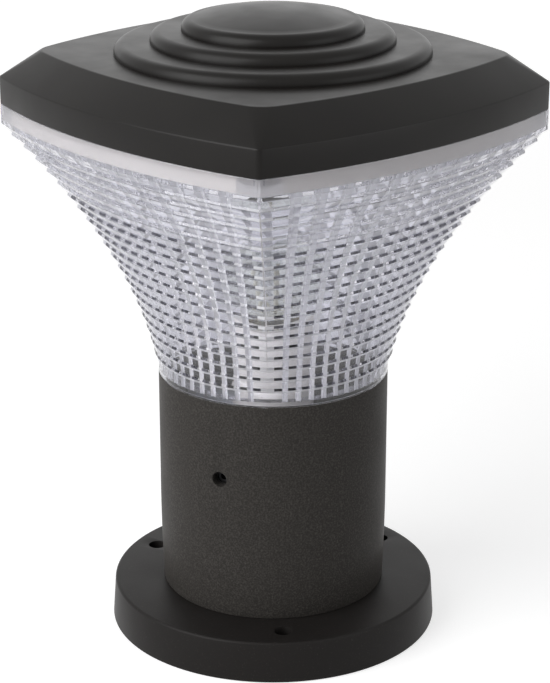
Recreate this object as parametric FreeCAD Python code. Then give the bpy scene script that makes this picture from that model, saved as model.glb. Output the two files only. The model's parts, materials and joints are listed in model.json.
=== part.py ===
"""Pillar light with a flared prismatic lens, built as the pieces it comes apart into.

Millimetres, +Z up, origin at the centre of the base's underside. The lens and the cap have
four bowed sides that face +X, -X, +Y and -Y; their corners lie on the diagonals.
A place round the axis is given by its azimuth: 0 degrees is -Y, 90 degrees is +X.
"""
import FreeCAD, Part
import math
import os

Vector = FreeCAD.Vector

# ---------------------------------------------------------------- driving dimensions
# Clearances
SLIDE_GAP = 0.3          # between pieces that move past each other
BOND_GAP = 0.2           # filled with sealant between bonded pieces
THREAD_GAP = 0.05        # between a moving screw and its tapped hole

# Base flange
BASE_DIA = 147.6
BASE_TOP_DIA = 144.9
BASE_THICK = 18.4
BASE_WEB = 5.0
BASE_RIM_WALL = 7.4
BASE_EDGE_ROUND = 1.2
RIB_COUNT = 6
RIB_THICK = 3.0
RIB_RECESS = 1.5         # ribs stop short of the surface that the base stands on
CABLE_HUB_WALL = 4.0
FIX_HOLE_DIA = 8.0
FIX_HOLE_INSET = 12.8    # from the rim to a fixing hole's centre
FIX_HOLE_COUNT = 3
FIX_HOLE_AZIMUTH = 51.7
FIX_BOSS_WALL = 4.0

# Spigot: upright tube on the flange that the neck slides over
SPIGOT_DROP = 6.0        # below the foot of the lens's collar
SPIGOT_WALL = 3.2
SPIGOT_SCREW_DIA = 4.0
SPIGOT_SCREW_LENGTH = 14.0
SPIGOT_SCREW_COUNT = 3
SPIGOT_SCREW_AZIMUTH = 90.0
SPIGOT_BOSS_R = 4.2
SPIGOT_BOSS_HEIGHT = 12.0
BOSS_SINK = 0.5          # of a boss into the wall that it grows from

# Neck tube
NECK_DIA = 102.0
NECK_DRAFT = 1.0         # that the foot is drawn in by
NECK_WALL = 3.5
NECK_LENGTH = 100.3
NECK_DRAFT_HEIGHT = 41.6
NECK_FOOT_CHAMFER = 0.6
SIDE_HOLE_DIA = 7.0
SIDE_HOLE_DROP = 16.7    # below the spigot's top
SIDE_HOLE_COUNT = 3
SIDE_HOLE_AZIMUTH = 20.5

# Set screws behind the neck's side holes
SET_SCREW_DIA = 6.0
SET_SCREW_LENGTH = 10.0
SET_SCREW_RECESS = 0.5   # below the spigot's skin when the head is free to lift
SET_SCREW_SOCKET = 3.0   # hexagon across flats
SET_BOSS_DIA = 12.0

# Lens
LENS_RING_HEIGHT = 4.0
LENS_FLARE_HEIGHT = 109.3
LENS_SIDE_R = 95.2
LENS_CORNER_REACH = 22.1     # that a corner lies farther out than the middle of a side
LENS_CORNER_LEAN = 23.1  # part of the corners' outward run that grows evenly with height
LENS_WALL = 2.0
LENS_BAND_HEIGHT = 9.2
LENS_LEDGE = 1.2
LENS_LEDGE_RISE = 0.3
ROW_COUNT = 19
LAST_SLOPE = 0.66        # rise from the top row to the band, in rows
ROW_FACE = 0.25          # steep share of a row, the rest is its sloping underside
ROW_LEAN = 0.4           # that a row's face leans in at its top
COLUMN_COUNT = 13
COLUMN_SPAN = 0.963      # share of a side that the columns take
PAD_SHARE = 0.57         # flat share of a column, the rest is an upright prism
PRISM_DEPTH = 0.8
COLLAR_DEPTH = 12.7
COLLAR_WALL = 2.5
TAB_THICK = 3.0
TAB_R = 8.0
TAB_INSET = 10.8         # from the band's corner to the cap screw
FLUTE_LEVELS = 7

# Seals
RING_SEAL = 1.9          # square section of the two ring seals
RING_SEAL_PROUD = 0.15   # how far they stand out of their grooves
GASKET_THICK = 1.0
GASKET_WIDTH = 1.8
GASKET_INSET = 0.5
BASE_GASKET_THICK = 2.0
BASE_GASKET_WIDTH = 3.0

# Cap
CAP_OVERHANG = 0.3       # past the lens's band
CAP_CORNER_ROUND = 2.8
CAP_SKIRT = 10.9
CAP_BEVEL_RISE = 11.9
CAP_BEVEL_RUN = 14.5     # inwards at the middle of a side
CORNER_BEVEL_RUN = 17.0
PLATE_CORNER_ROUND = 12.0
CAP_WALL = 2.6
STEP_MARGIN = 13.5       # plate left beside the lowest step
STEP_TREADS = (15.3, 13.3)
STEP_RISE = 4.87
STEP_ROUND = 4.4
DOME_RISE = 4.4
CAP_BOSS_DIA = 8.0
CAP_SCREW_DIA = 4.0
CAP_SCREW_LENGTH = 12.0

# Reflector under the cap
REFLECTOR_GAP = 0.8
REFLECTOR_WALL = 1.5
REFLECTOR_DROP = 1.2     # below the cap's skirt
REFLECTOR_SKIRT = 7.0
REFLECTOR_NOTCH = 1.0    # free space round a lens tab
REFLECTOR_SCREW_INSET = 9.0    # from the plate's edge
REFLECTOR_BOSS_DIA = 7.0
REFLECTOR_SCREW_DIA = 3.0
REFLECTOR_SCREW_LENGTH = 9.0

# Lampholder and its bracket
STRAP_WIDTH = 16.0
STRAP_THICK = 1.5
STRAP_END_GAP = 3.8      # from the spigot's skin
STRAP_BOSS_R = 5.0
STRAP_BOSS_DROP = 20.0
STRAP_SCREW_DIA = 4.0
STRAP_SCREW_LENGTH = 10.0
STRAP_WIRE_HOLE_R = 7.0
HOLDER_R = 18.0
HOLDER_HEIGHT = 48.0
HOLDER_FLOOR = 15.5
HOLDER_WALL = 3.3
HOLDER_SCREW_R = 12.0
HOLDER_SCREW_DIA = 3.5
HOLDER_SCREW_LENGTH = 8.0
SHELL_WALL = 0.6
SHELL_BORE_R = 13.5
SHELL_LIFT = 2.0         # shell above the holder's floor
SHELL_TOP_DROP = 2.5     # shell below the holder's mouth
CONTACT_R = 4.0
CONTACT_THICK = 0.8

# Bulb: globe with four light-emitting sticks and a 27 mm screw cap
BULB_GLOBE_R = 22.5
BULB_LENGTH = 77.0
BULB_GLASS_WALL = 0.9
BULB_SHELL_ROOM = 0.4    # between the thread's crests and the lampholder's shell
BULB_CEMENT_GAP = 0.4    # filled with cement between the glass and the screw cap
BULB_CAP_WALL = 0.5
BULB_THREAD_PITCH = 3.6
BULB_THREAD_COUNT = 5
BULB_THREAD_DEPTH = 0.7
BULB_TIP_R = 4.8
BULB_TIP_HEIGHT = 1.4
BULB_INSULATOR_HEIGHT = 4.8
FILAMENT_COUNT = 4
FILAMENT_R = 0.9
FILAMENT_LENGTH = 26.0

# Wiring
GROMMET_BORE_DIA = 9.0
GROMMET_WALL = 3.0
GROMMET_LIP = 2.0
LEAD_R = 1.3
LEAD_END_GAP = 0.15      # under the lampholder
LEAD_RUN = 18.0          # from a pole to the lead's bend
LIVE_END_X = 3.5         # places under the lampholder
NEUTRAL_END_X = -3.0
POLE_PITCH = 9.0
TERMINAL_DEPTH = 15.0
TERMINAL_HEIGHT = 13.2
TERMINAL_Y = 22.0        # face that the leads come out of
ENTRY_HEIGHT = 6.6       # of a lead above the floor at the terminals
EARTH_SCREW_X = -27.0
EARTH_SCREW_Y = -12.0
EARTH_BOSS_R = 5.0

# ---------------------------------------------------------------- heights and radii worked out
BASE_R = BASE_DIA / 2
BASE_TOP_Z = BASE_THICK
WEB_Z = BASE_THICK - BASE_WEB
NECK_R = NECK_DIA / 2
NECK_BORE_R = NECK_R - NECK_WALL
NECK_TOP_Z = BASE_TOP_Z + NECK_LENGTH
SPIGOT_R = NECK_BORE_R - SLIDE_GAP
SPIGOT_BORE_R = SPIGOT_R - SPIGOT_WALL
SPIGOT_TOP_Z = NECK_TOP_Z - COLLAR_DEPTH - SPIGOT_DROP
SIDE_HOLE_Z = SPIGOT_TOP_Z - SIDE_HOLE_DROP
LENS_FOOT_Z = NECK_TOP_Z
LENS_CORNER_R = LENS_SIDE_R + LENS_CORNER_REACH
BAND_Z = LENS_FOOT_Z + LENS_FLARE_HEIGHT
ROW_PITCH = (LENS_FLARE_HEIGHT - LENS_RING_HEIGHT) / (ROW_COUNT + LAST_SLOPE)
LENS_RIM_Z = BAND_Z + LENS_BAND_HEIGHT
COLLAR_R = NECK_BORE_R - BOND_GAP
COLLAR_BORE_R = COLLAR_R - COLLAR_WALL
CAP_FOOT_Z = LENS_RIM_Z + GASKET_THICK
KNEE_Z = CAP_FOOT_Z + CAP_SKIRT
PLATE_Z = KNEE_Z + CAP_BEVEL_RISE
CAP_CORNER_R = LENS_CORNER_R + CAP_OVERHANG
CAP_SIDE_R = LENS_SIDE_R + CAP_OVERHANG
PLATE_CORNER_R = CAP_CORNER_R - CORNER_BEVEL_RUN
PLATE_SIDE_R = CAP_SIDE_R - CAP_BEVEL_RUN
STEP_RADII = [PLATE_SIDE_R - STEP_MARGIN - sum(STEP_TREADS[:k]) for k in range(3)]
TAB_CENTRE_R = LENS_CORNER_R - TAB_INSET
REFLECTOR_Z = CAP_FOOT_Z - REFLECTOR_DROP
STRAP_Z = SPIGOT_TOP_Z
STRAP_AZIMUTH = SIDE_HOLE_AZIMUTH + 90.0
HOLDER_Z = STRAP_Z + STRAP_THICK
HOLDER_FLOOR_Z = HOLDER_Z + HOLDER_FLOOR
BULB_CAP_R = SHELL_BORE_R - BULB_SHELL_ROOM
BULB_NECK_R = BULB_CAP_R - BULB_THREAD_DEPTH - BULB_CAP_WALL - BULB_CEMENT_GAP
BULB_TIP_Z = HOLDER_FLOOR_Z + CONTACT_THICK + SLIDE_GAP
BULB_SHELL_Z = BULB_TIP_Z + BULB_TIP_HEIGHT + BULB_INSULATOR_HEIGHT
BULB_NECK_Z = BULB_SHELL_Z + BULB_THREAD_PITCH * BULB_THREAD_COUNT + 2.0
GLOBE_Z = BULB_TIP_Z + BULB_LENGTH - BULB_GLOBE_R
GROMMET_R = GROMMET_BORE_DIA / 2 + GROMMET_WALL
LEAD_Z = BASE_TOP_Z + ENTRY_HEIGHT


# ---------------------------------------------------------------- shape helpers
def around(radius, azimuth, z=0.0):
    """Point at an azimuth round the light's axis."""
    angle = math.radians(azimuth)
    return Vector(radius * math.sin(angle), -radius * math.cos(angle), z)


def cylinder(radius, height, foot, direction=Vector(0, 0, 1)):
    return Part.makeCylinder(radius, height, foot, direction)


def tube(outer_r, inner_r, height, z):
    outer = cylinder(outer_r, height, Vector(0, 0, z))
    return outer.cut(cylinder(inner_r, height, Vector(0, 0, z)))


def revolved(points):
    """Solid of revolution from a half section of (radius, z) points.

    A triple (radius, z, "mid") is the middle of an arc between the points beside it.
    """
    edges = []
    closed = points + [points[0]]
    i = 0
    while i < len(closed) - 1:
        here = Vector(closed[i][0], 0, closed[i][1])
        following = closed[i + 1]
        if len(following) == 3:
            middle = Vector(following[0], 0, following[1])
            end = Vector(closed[i + 2][0], 0, closed[i + 2][1])
            edges.append(Part.Arc(here, middle, end).toShape())
            i += 2
        else:
            end = Vector(following[0], 0, following[1])
            edges.append(Part.makeLine(here, end))
            i += 1
    face = Part.Face(Part.Wire(edges))
    return face.revolve(Vector(0, 0, 0), Vector(0, 0, 1), 360)


def corner_angle(corner_r, side_r):
    """Half of the angle between two bowed sides at their corner, in radians."""
    half = corner_r / math.sqrt(2)
    sag = side_r - half
    bow_r = (half ** 2 + sag ** 2) / (2 * sag)
    return math.pi / 4 + math.asin(half / bow_r)


def inset(corner_r, side_r, distance):
    """Corner and side radii of the outline that lies a distance inside this one."""
    return corner_r - distance / math.sin(corner_angle(corner_r, side_r)), side_r - distance


def bowed_side(corner_r, side_r):
    """Radius of a side's arc and how far its centre lies from the axis."""
    half = corner_r / math.sqrt(2)
    sag = side_r - half
    bow_r = (half ** 2 + sag ** 2) / (2 * sag)
    return bow_r, side_r - bow_r


def bowed_square(z, corner_r, side_r, corner_round=0.0):
    """Closed outline of four bowed sides, with rounded corners if asked."""
    bow_r, centre = bowed_side(corner_r, side_r)
    diagonal = math.sqrt(0.5)
    reach = centre * diagonal + math.sqrt((bow_r - corner_round) ** 2 - centre ** 2 / 2)
    spread = math.atan2(reach * diagonal, reach * diagonal - centre)
    edges = []
    for quarter in range(4):
        turn = quarter * math.pi / 2

        def bow_point(angle):
            x = centre + bow_r * math.cos(angle)
            y = bow_r * math.sin(angle)
            return Vector(x * math.cos(turn) - y * math.sin(turn),
                          x * math.sin(turn) + y * math.cos(turn), z)

        edges.append(Part.Arc(bow_point(-spread), bow_point(0), bow_point(spread)).toShape())
        if corner_round > 0:
            tip = reach + corner_round
            middle = Vector(tip * math.cos(turn + math.pi / 4), tip * math.sin(turn + math.pi / 4), z)
            across = bow_point(-spread)
            end = Vector(-across.y, across.x, z)
            edges.append(Part.Arc(bow_point(spread), middle, end).toShape())
    return Part.Wire(edges)


def prism(outline, height):
    return Part.Face(outline).extrude(Vector(0, 0, height))


def pan_screw(seat, direction, shank_dia, length):
    """Slotted pan-head screw: seat is under its head, direction points to its tip."""
    head_r = shank_dia * 0.95
    head_height = shank_dia * 0.55
    head = cylinder(head_r, head_height, seat - direction * head_height, direction)
    shank = cylinder(shank_dia / 2 - THREAD_GAP, length, seat, direction)
    slot = Part.makeBox(3 * head_r, shank_dia * 0.2, head_height * 0.45)
    slot.translate(Vector(-1.5 * head_r, -shank_dia * 0.1, 0))
    if direction.z < 0:
        slot.translate(Vector(seat.x, seat.y, seat.z + head_height * 0.55))
    else:
        slot.translate(Vector(seat.x, seat.y, seat.z - head_height))
    return head.fuse(shank).cut(slot).removeSplitter()


def bent_wire(points, radius, start_direction):
    """Round wire along straight runs joined by tangent arcs, and its bend radii."""
    edges = []
    bends = []
    here = points[0]
    for i in range(1, len(points) - 1):
        back = points[i - 1] - points[i]
        ahead = points[i + 1] - points[i]
        half_turn = (math.pi - back.getAngle(ahead)) / 2
        reach = 0.45 * min(back.Length, ahead.Length)
        bend = reach / math.tan(half_turn)
        bends.append(bend)
        back.normalize()
        ahead.normalize()
        first = points[i] + back * reach
        last = points[i] + ahead * reach
        inward = (back + ahead).normalize()
        middle = points[i] + inward * (math.hypot(bend, reach) - bend)
        edges.append(Part.makeLine(here, first))
        edges.append(Part.Arc(first, middle, last).toShape())
        here = last
    edges.append(Part.makeLine(here, points[-1]))
    path = Part.Wire(edges)
    ring = Part.Wire(Part.makeCircle(radius, points[0], start_direction))
    return path.makePipeShell([ring], True, False), bends


# ---------------------------------------------------------------- base
def fixing_points(z=0.0):
    return [around(BASE_R - FIX_HOLE_INSET, FIX_HOLE_AZIMUTH + i * 360 / FIX_HOLE_COUNT, z)
            for i in range(FIX_HOLE_COUNT)]


def side_azimuths():
    return [SIDE_HOLE_AZIMUTH + i * 360 / SIDE_HOLE_COUNT for i in range(SIDE_HOLE_COUNT)]


def strap_points(radius, z):
    return [around(radius, STRAP_AZIMUTH, z), around(radius, STRAP_AZIMUTH + 180, z)]


def strap_boss_radius():
    """Distance of the bracket's bosses from the axis, so that they merge into the spigot."""
    return SPIGOT_BORE_R - STRAP_BOSS_R + BOSS_SINK


def spigot_screw_points(z):
    radius = SPIGOT_BORE_R - SPIGOT_BOSS_R + BOSS_SINK
    return [around(radius, SPIGOT_SCREW_AZIMUTH + i * 360 / SPIGOT_SCREW_COUNT, z)
            for i in range(SPIGOT_SCREW_COUNT)]


def base_flange():
    """Cast disc with a hollow ribbed underside and three fixing bosses."""
    top_r = BASE_TOP_DIA / 2
    edge = BASE_EDGE_ROUND
    disc = revolved([(0, 0), (BASE_R, 0), (top_r + edge * 0.08, BASE_TOP_Z - edge),
                     (top_r - edge * 0.22, BASE_TOP_Z - edge * 0.29, "mid"),
                     (top_r - edge, BASE_TOP_Z), (0, BASE_TOP_Z)])
    recess_r = BASE_R - BASE_RIM_WALL
    body = disc.cut(cylinder(recess_r, WEB_Z, Vector(0, 0, 0)))
    hub_r = GROMMET_R + CABLE_HUB_WALL
    for i in range(RIB_COUNT):
        rib = Part.makeBox(recess_r - GROMMET_R + 1, RIB_THICK, WEB_Z - RIB_RECESS + 0.5)
        rib.translate(Vector(GROMMET_R, -RIB_THICK / 2, RIB_RECESS))
        rib.rotate(Vector(0, 0, 0), Vector(0, 0, 1), FIX_HOLE_AZIMUTH - 90 + i * 360 / RIB_COUNT)
        body = body.fuse(rib)
    body = body.fuse(cylinder(hub_r, WEB_Z - RIB_RECESS, Vector(0, 0, RIB_RECESS)))
    for point in fixing_points():
        body = body.fuse(cylinder(FIX_HOLE_DIA / 2 + FIX_BOSS_WALL, WEB_Z, point))
    earth = Vector(EARTH_SCREW_X, EARTH_SCREW_Y, BASE_TOP_Z - 1)
    body = body.fuse(cylinder(EARTH_BOSS_R, earth_lug_z() - BASE_TOP_Z + 1, earth))
    for point in fixing_points(-1):
        body = body.cut(cylinder(FIX_HOLE_DIA / 2, BASE_THICK + 2, point))
    body = body.cut(cylinder(GROMMET_R, BASE_THICK + 2, Vector(0, 0, -1)))
    for point in spigot_screw_points(WEB_Z - 1):
        body = body.cut(cylinder(SPIGOT_SCREW_DIA / 2, BASE_WEB + 2, point))
    blind_z = WEB_Z + 1
    body = body.cut(cylinder(STRAP_SCREW_DIA / 2, BASE_THICK, Vector(EARTH_SCREW_X, EARTH_SCREW_Y, blind_z)))
    block_hole = terminal_centre() + Vector(0, 0, blind_z)
    body = body.cut(cylinder(REFLECTOR_SCREW_DIA / 2, BASE_THICK, block_hole))
    middle = base_gasket_radius()
    half = BASE_GASKET_WIDTH / 2
    body = body.cut(tube(middle + half, middle - half, BASE_GASKET_THICK, 0))
    return body.removeSplitter()


def spigot():
    """Upright tube with bosses for its own screws, the bracket and the set screws."""
    body = tube(SPIGOT_R, SPIGOT_BORE_R, SPIGOT_TOP_Z - BASE_TOP_Z, BASE_TOP_Z)
    for point in spigot_screw_points(BASE_TOP_Z):
        body = body.fuse(cylinder(SPIGOT_BOSS_R, SPIGOT_BOSS_HEIGHT, point))
    for point in strap_points(strap_boss_radius(), SPIGOT_TOP_Z - STRAP_BOSS_DROP):
        body = body.fuse(cylinder(STRAP_BOSS_R, STRAP_BOSS_DROP, point))
    inner = SPIGOT_R - SET_SCREW_RECESS - SET_SCREW_LENGTH - 1
    for azimuth in side_azimuths():
        boss = cylinder(SET_BOSS_DIA / 2, SPIGOT_BORE_R - inner + 1,
                        around(inner, azimuth, SIDE_HOLE_Z), around(1, azimuth))
        body = body.fuse(boss)
    for azimuth in side_azimuths():
        body = body.cut(cylinder(SET_SCREW_DIA / 2, NECK_R, Vector(0, 0, SIDE_HOLE_Z),
                                 around(1, azimuth)))
    for point in strap_points(strap_boss_radius(), SPIGOT_TOP_Z - STRAP_SCREW_LENGTH - 1):
        body = body.cut(cylinder(STRAP_SCREW_DIA / 2, STRAP_SCREW_LENGTH + 2, point))
    for point in spigot_screw_points(BASE_TOP_Z - 1):
        body = body.cut(cylinder(SPIGOT_SCREW_DIA / 2, SPIGOT_SCREW_LENGTH - BASE_WEB + 2, point))
    return body.cut(seal_groove(SPIGOT_R, spigot_seal_z()))


def spigot_screws():
    """Screws up through the flange's web into the spigot."""
    return [pan_screw(point, Vector(0, 0, 1), SPIGOT_SCREW_DIA, SPIGOT_SCREW_LENGTH)
            for point in spigot_screw_points(WEB_Z)]


def base_gasket_radius():
    return BASE_R - BASE_RIM_WALL / 2


def base_gasket():
    """Flat rubber ring in the groove under the rim, flush with the base's underside."""
    middle = base_gasket_radius()
    half = BASE_GASKET_WIDTH / 2
    return tube(middle + half, middle - half, BASE_GASKET_THICK, 0)


def ring_seal(seat_r, z):
    """Square-section rubber ring in a groove of a round seat."""
    outer = seat_r + RING_SEAL_PROUD
    return tube(outer, outer - RING_SEAL, RING_SEAL, z)


def seal_groove(seat_r, z):
    return tube(seat_r + 1, seat_r + RING_SEAL_PROUD - RING_SEAL, RING_SEAL, z)


def spigot_seal_z():
    return BASE_TOP_Z + 3 * RING_SEAL


def spigot_seal():
    """Ring near the foot of the spigot that keeps rain out of the neck."""
    return ring_seal(SPIGOT_R, spigot_seal_z())


def cable_grommet():
    """Rubber grommet in the base's centre hole, where the supply cable comes in."""
    bore = GROMMET_BORE_DIA / 2
    lip_r = GROMMET_R + GROMMET_LIP
    top = BASE_TOP_Z + GROMMET_LIP
    return revolved([(bore, RIB_RECESS), (bore, top), (GROMMET_R, top),
                     (lip_r - 0.6, top - 0.6), (lip_r, BASE_TOP_Z), (GROMMET_R, BASE_TOP_Z),
                     (GROMMET_R, RIB_RECESS)])


# ---------------------------------------------------------------- neck and set screws
def neck_tube():
    """Powder-coated tube that slides over the spigot, drawn in a little at its foot."""
    foot_r = NECK_R - NECK_DRAFT
    bore = NECK_BORE_R
    chamfer = NECK_FOOT_CHAMFER
    draft_z = BASE_TOP_Z + NECK_DRAFT_HEIGHT
    middle_z = (BASE_TOP_Z + draft_z) / 2
    middle_r = foot_r + (NECK_R - foot_r) * 0.72
    body = revolved([(bore, BASE_TOP_Z), (foot_r - chamfer, BASE_TOP_Z),
                     (foot_r, BASE_TOP_Z + chamfer), (middle_r, middle_z, "mid"),
                     (NECK_R, draft_z), (NECK_R, NECK_TOP_Z), (bore, NECK_TOP_Z)])
    for azimuth in side_azimuths():
        body = body.cut(cylinder(SIDE_HOLE_DIA / 2, NECK_R + 5, Vector(0, 0, SIDE_HOLE_Z),
                                 around(1, azimuth)))
    return body


def set_screw(azimuth):
    """Headless screw with a hexagon socket in its outer end and a cone at its tip."""
    outer = SPIGOT_R - SET_SCREW_RECESS
    radius = SET_SCREW_DIA / 2 - THREAD_GAP
    cone = 1.2
    inner = outer - SET_SCREW_LENGTH
    screw = revolved([(0, 0), (radius - cone, 0), (radius, cone), (radius, SET_SCREW_LENGTH - 0.4),
                      (radius - 0.4, SET_SCREW_LENGTH), (0, SET_SCREW_LENGTH)])
    across = SET_SCREW_SOCKET / 2 / math.cos(math.pi / 6)
    corners = [Vector(across * math.cos(k * math.pi / 3), across * math.sin(k * math.pi / 3),
                      SET_SCREW_LENGTH * 0.6) for k in range(7)]
    screw = screw.cut(prism(Part.makePolygon(corners), SET_SCREW_LENGTH))
    outward = FreeCAD.Rotation(Vector(0, 0, 1), around(1, azimuth))
    screw.Placement = FreeCAD.Placement(around(inner, azimuth, SIDE_HOLE_Z), outward)
    return screw


# ---------------------------------------------------------------- lens
def flare(z):
    """Corner radius, side radius and their slopes on the smooth flare at a height."""
    t = (z - LENS_FOOT_Z) / LENS_FLARE_HEIGHT
    corner_bend = LENS_CORNER_R - NECK_R - LENS_CORNER_LEAN
    side_bend = LENS_SIDE_R - NECK_R
    corner_r = NECK_R + LENS_CORNER_LEAN * t + corner_bend * t ** 2
    side_r = NECK_R + side_bend * t ** 2
    corner_slope = (LENS_CORNER_LEAN + 2 * corner_bend * t) / LENS_FLARE_HEIGHT
    side_slope = 2 * side_bend * t / LENS_FLARE_HEIGHT
    return corner_r, side_r, corner_slope, side_slope


def lens_outside():
    """Stepped outer form: each row is a steep face above a sloping underside."""
    first_edge = LENS_FOOT_Z + LENS_RING_HEIGHT + (1 - ROW_FACE) * ROW_PITCH
    outlines = [bowed_square(LENS_FOOT_Z, NECK_R, NECK_R),
                bowed_square(LENS_FOOT_Z + LENS_RING_HEIGHT, NECK_R, NECK_R)]
    for row in range(ROW_COUNT):
        edge_z = first_edge + row * ROW_PITCH
        top_z = edge_z + ROW_FACE * ROW_PITCH
        corner_r, side_r = flare((edge_z + top_z) / 2)[:2]
        outlines.append(bowed_square(edge_z, corner_r, side_r))
        outlines.append(bowed_square(top_z, corner_r - ROW_LEAN, side_r - ROW_LEAN))
    ledge_r = inset(LENS_CORNER_R, LENS_SIDE_R, LENS_LEDGE)
    outlines.append(bowed_square(BAND_Z, *ledge_r))
    outlines.append(bowed_square(BAND_Z + LENS_LEDGE_RISE, LENS_CORNER_R, LENS_SIDE_R))
    outlines.append(bowed_square(LENS_RIM_Z, LENS_CORNER_R, LENS_SIDE_R))
    return Part.makeLoft(outlines, True, True)


def inner_radii(z):
    """Corner and side radii of the flare's inner wall, a wall behind the tops of the rows' faces."""
    corner_r, side_r, corner_slope, side_slope = flare(z)
    root = ROW_PITCH * ROW_FACE / 2
    return (corner_r - LENS_WALL * math.hypot(1, corner_slope) - root * corner_slope - ROW_LEAN,
            side_r - LENS_WALL * math.hypot(1, side_slope) - root * side_slope - ROW_LEAN)


def fluted_outline(z):
    """Inner outline of the flare: flat pads with an upright prism between neighbours."""
    corner_r, side_r = inner_radii(z)
    bow_r, centre = bowed_side(corner_r, side_r)
    spread = math.asin(corner_r * math.sqrt(0.5) / bow_r)
    column = 2 * spread * COLUMN_SPAN / COLUMN_COUNT
    points = []
    for quarter in range(4):
        turn = quarter * math.pi / 2

        def bow_point(angle, depth=0.0):
            x = centre + (bow_r - depth) * math.cos(angle)
            y = (bow_r - depth) * math.sin(angle)
            return Vector(x * math.cos(turn) - y * math.sin(turn),
                          x * math.sin(turn) + y * math.cos(turn), z)

        points.append(bow_point(-spread))
        for k in range(COLUMN_COUNT):
            middle = (k - (COLUMN_COUNT - 1) / 2) * column
            points.append(bow_point(middle - PAD_SHARE * column / 2))
            points.append(bow_point(middle + PAD_SHARE * column / 2))
            if k < COLUMN_COUNT - 1:
                points.append(bow_point(middle + column / 2, PRISM_DEPTH))
    return Part.makePolygon(points + [points[0]])


def lens_core():
    """Everything that is hollow inside the lens."""
    flute_foot = LENS_FOOT_Z + LENS_RING_HEIGHT / 2
    flute_top = BAND_Z + LENS_WALL
    rise = (flute_top - flute_foot) / (FLUTE_LEVELS - 1)
    flutes = Part.makeLoft([fluted_outline(flute_foot + k * rise) for k in range(FLUTE_LEVELS)],
                           True, False)
    throat = cylinder(COLLAR_BORE_R, COLLAR_DEPTH + LENS_RING_HEIGHT,
                      Vector(0, 0, LENS_FOOT_Z - COLLAR_DEPTH - 1))
    band_outline = bowed_square(flute_top, *inset(LENS_CORNER_R, LENS_SIDE_R, LENS_WALL))
    band = prism(band_outline, LENS_RIM_Z - flute_top + 1)
    return throat, flutes, band


def tab_points(z):
    return [around(TAB_CENTRE_R, 45 + k * 90, z) for k in range(4)]


def neck_seal_z():
    return LENS_FOOT_Z - COLLAR_DEPTH / 2


def lens():
    """Clear lens: collar, plain ring, rows of prisms, smooth band and four screw tabs."""
    body = lens_outside()
    body = body.fuse(cylinder(COLLAR_R, COLLAR_DEPTH + 0.5, Vector(0, 0, LENS_FOOT_Z - COLLAR_DEPTH)))
    for hollow in lens_core():
        body = body.cut(hollow)
    tab_z = LENS_RIM_Z - TAB_THICK
    within = prism(bowed_square(tab_z, *inset(LENS_CORNER_R, LENS_SIDE_R, LENS_WALL / 2)), TAB_THICK)
    for point in tab_points(tab_z):
        body = body.fuse(cylinder(TAB_R, TAB_THICK, point).common(within))
    for point in tab_points(tab_z - 1):
        body = body.cut(cylinder(CAP_SCREW_DIA / 2 + SLIDE_GAP, TAB_THICK + 2, point))
    return body.cut(seal_groove(COLLAR_R, neck_seal_z()))


def neck_seal():
    """Ring between the lens collar and the neck's bore."""
    return ring_seal(COLLAR_R, neck_seal_z())


# ---------------------------------------------------------------- cap and reflector
def cap_seal():
    """Flat foam ring between the lens's rim and the cap."""
    outer = inset(LENS_CORNER_R, LENS_SIDE_R, GASKET_INSET)
    inner = inset(LENS_CORNER_R, LENS_SIDE_R, GASKET_INSET + GASKET_WIDTH)
    ring = prism(bowed_square(LENS_RIM_Z, *outer), GASKET_THICK)
    return ring.cut(prism(bowed_square(LENS_RIM_Z, *inner), GASKET_THICK))


def stepped_dome(wall=0.0):
    """Three rounded steps and a shallow dome; the hollow side is a wall smaller and chamfered."""
    outline = [(0, PLATE_Z - wall - 1), (STEP_RADII[0] - wall, PLATE_Z - wall - 1)]
    tread_z = PLATE_Z - wall
    bend = STEP_ROUND - wall
    for radius in STEP_RADII:
        tread_z += STEP_RISE
        edge_r = radius - wall
        outline.append((edge_r, tread_z - STEP_RISE))
        outline.append((edge_r, tread_z - bend))
        if not wall:
            easing = bend * (1 - math.sqrt(0.5))
            outline.append((edge_r - easing, tread_z - easing, "mid"))
        outline.append((edge_r - bend, tread_z))
    dome_r = STEP_RADII[-1] - STEP_ROUND
    sphere_r = (dome_r ** 2 + DOME_RISE ** 2) / (2 * DOME_RISE)
    half_z = tread_z + DOME_RISE - sphere_r + math.sqrt(sphere_r ** 2 - dome_r ** 2 / 4)
    outline.append((dome_r / 2, half_z, "mid"))
    outline.append((0, tread_z + DOME_RISE))
    return revolved(outline)


def cap_outside():
    skirt = prism(bowed_square(CAP_FOOT_Z, CAP_CORNER_R, CAP_SIDE_R, CAP_CORNER_ROUND), CAP_SKIRT)
    bevel = Part.makeLoft([bowed_square(KNEE_Z, CAP_CORNER_R, CAP_SIDE_R, CAP_CORNER_ROUND),
                           bowed_square(PLATE_Z, PLATE_CORNER_R, PLATE_SIDE_R, PLATE_CORNER_ROUND)],
                          True, True)
    return skirt.fuse(bevel)


def cap_hollow():
    """Inside of the cap, one wall behind its outside."""
    run = CAP_SIDE_R - PLATE_SIDE_R
    slope = CAP_BEVEL_RISE / run
    drop = CAP_WALL * math.hypot(1, slope)
    knee_z = KNEE_Z + CAP_WALL * slope - drop
    ceiling_z = PLATE_Z - CAP_WALL
    plate_inset = (drop - CAP_WALL) / slope
    skirt_r = inset(CAP_CORNER_R, CAP_SIDE_R, CAP_WALL)
    plate_r = inset(PLATE_CORNER_R, PLATE_SIDE_R, plate_inset)
    corner_round = 0.5
    skirt = prism(bowed_square(CAP_FOOT_Z - 1, *skirt_r, corner_round), knee_z - CAP_FOOT_Z + 1)
    bevel = Part.makeLoft([bowed_square(knee_z, *skirt_r, corner_round),
                           bowed_square(ceiling_z, *plate_r, PLATE_CORNER_ROUND - CAP_WALL)],
                          True, True)
    return skirt.fuse(bevel).fuse(stepped_dome(CAP_WALL))


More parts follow.
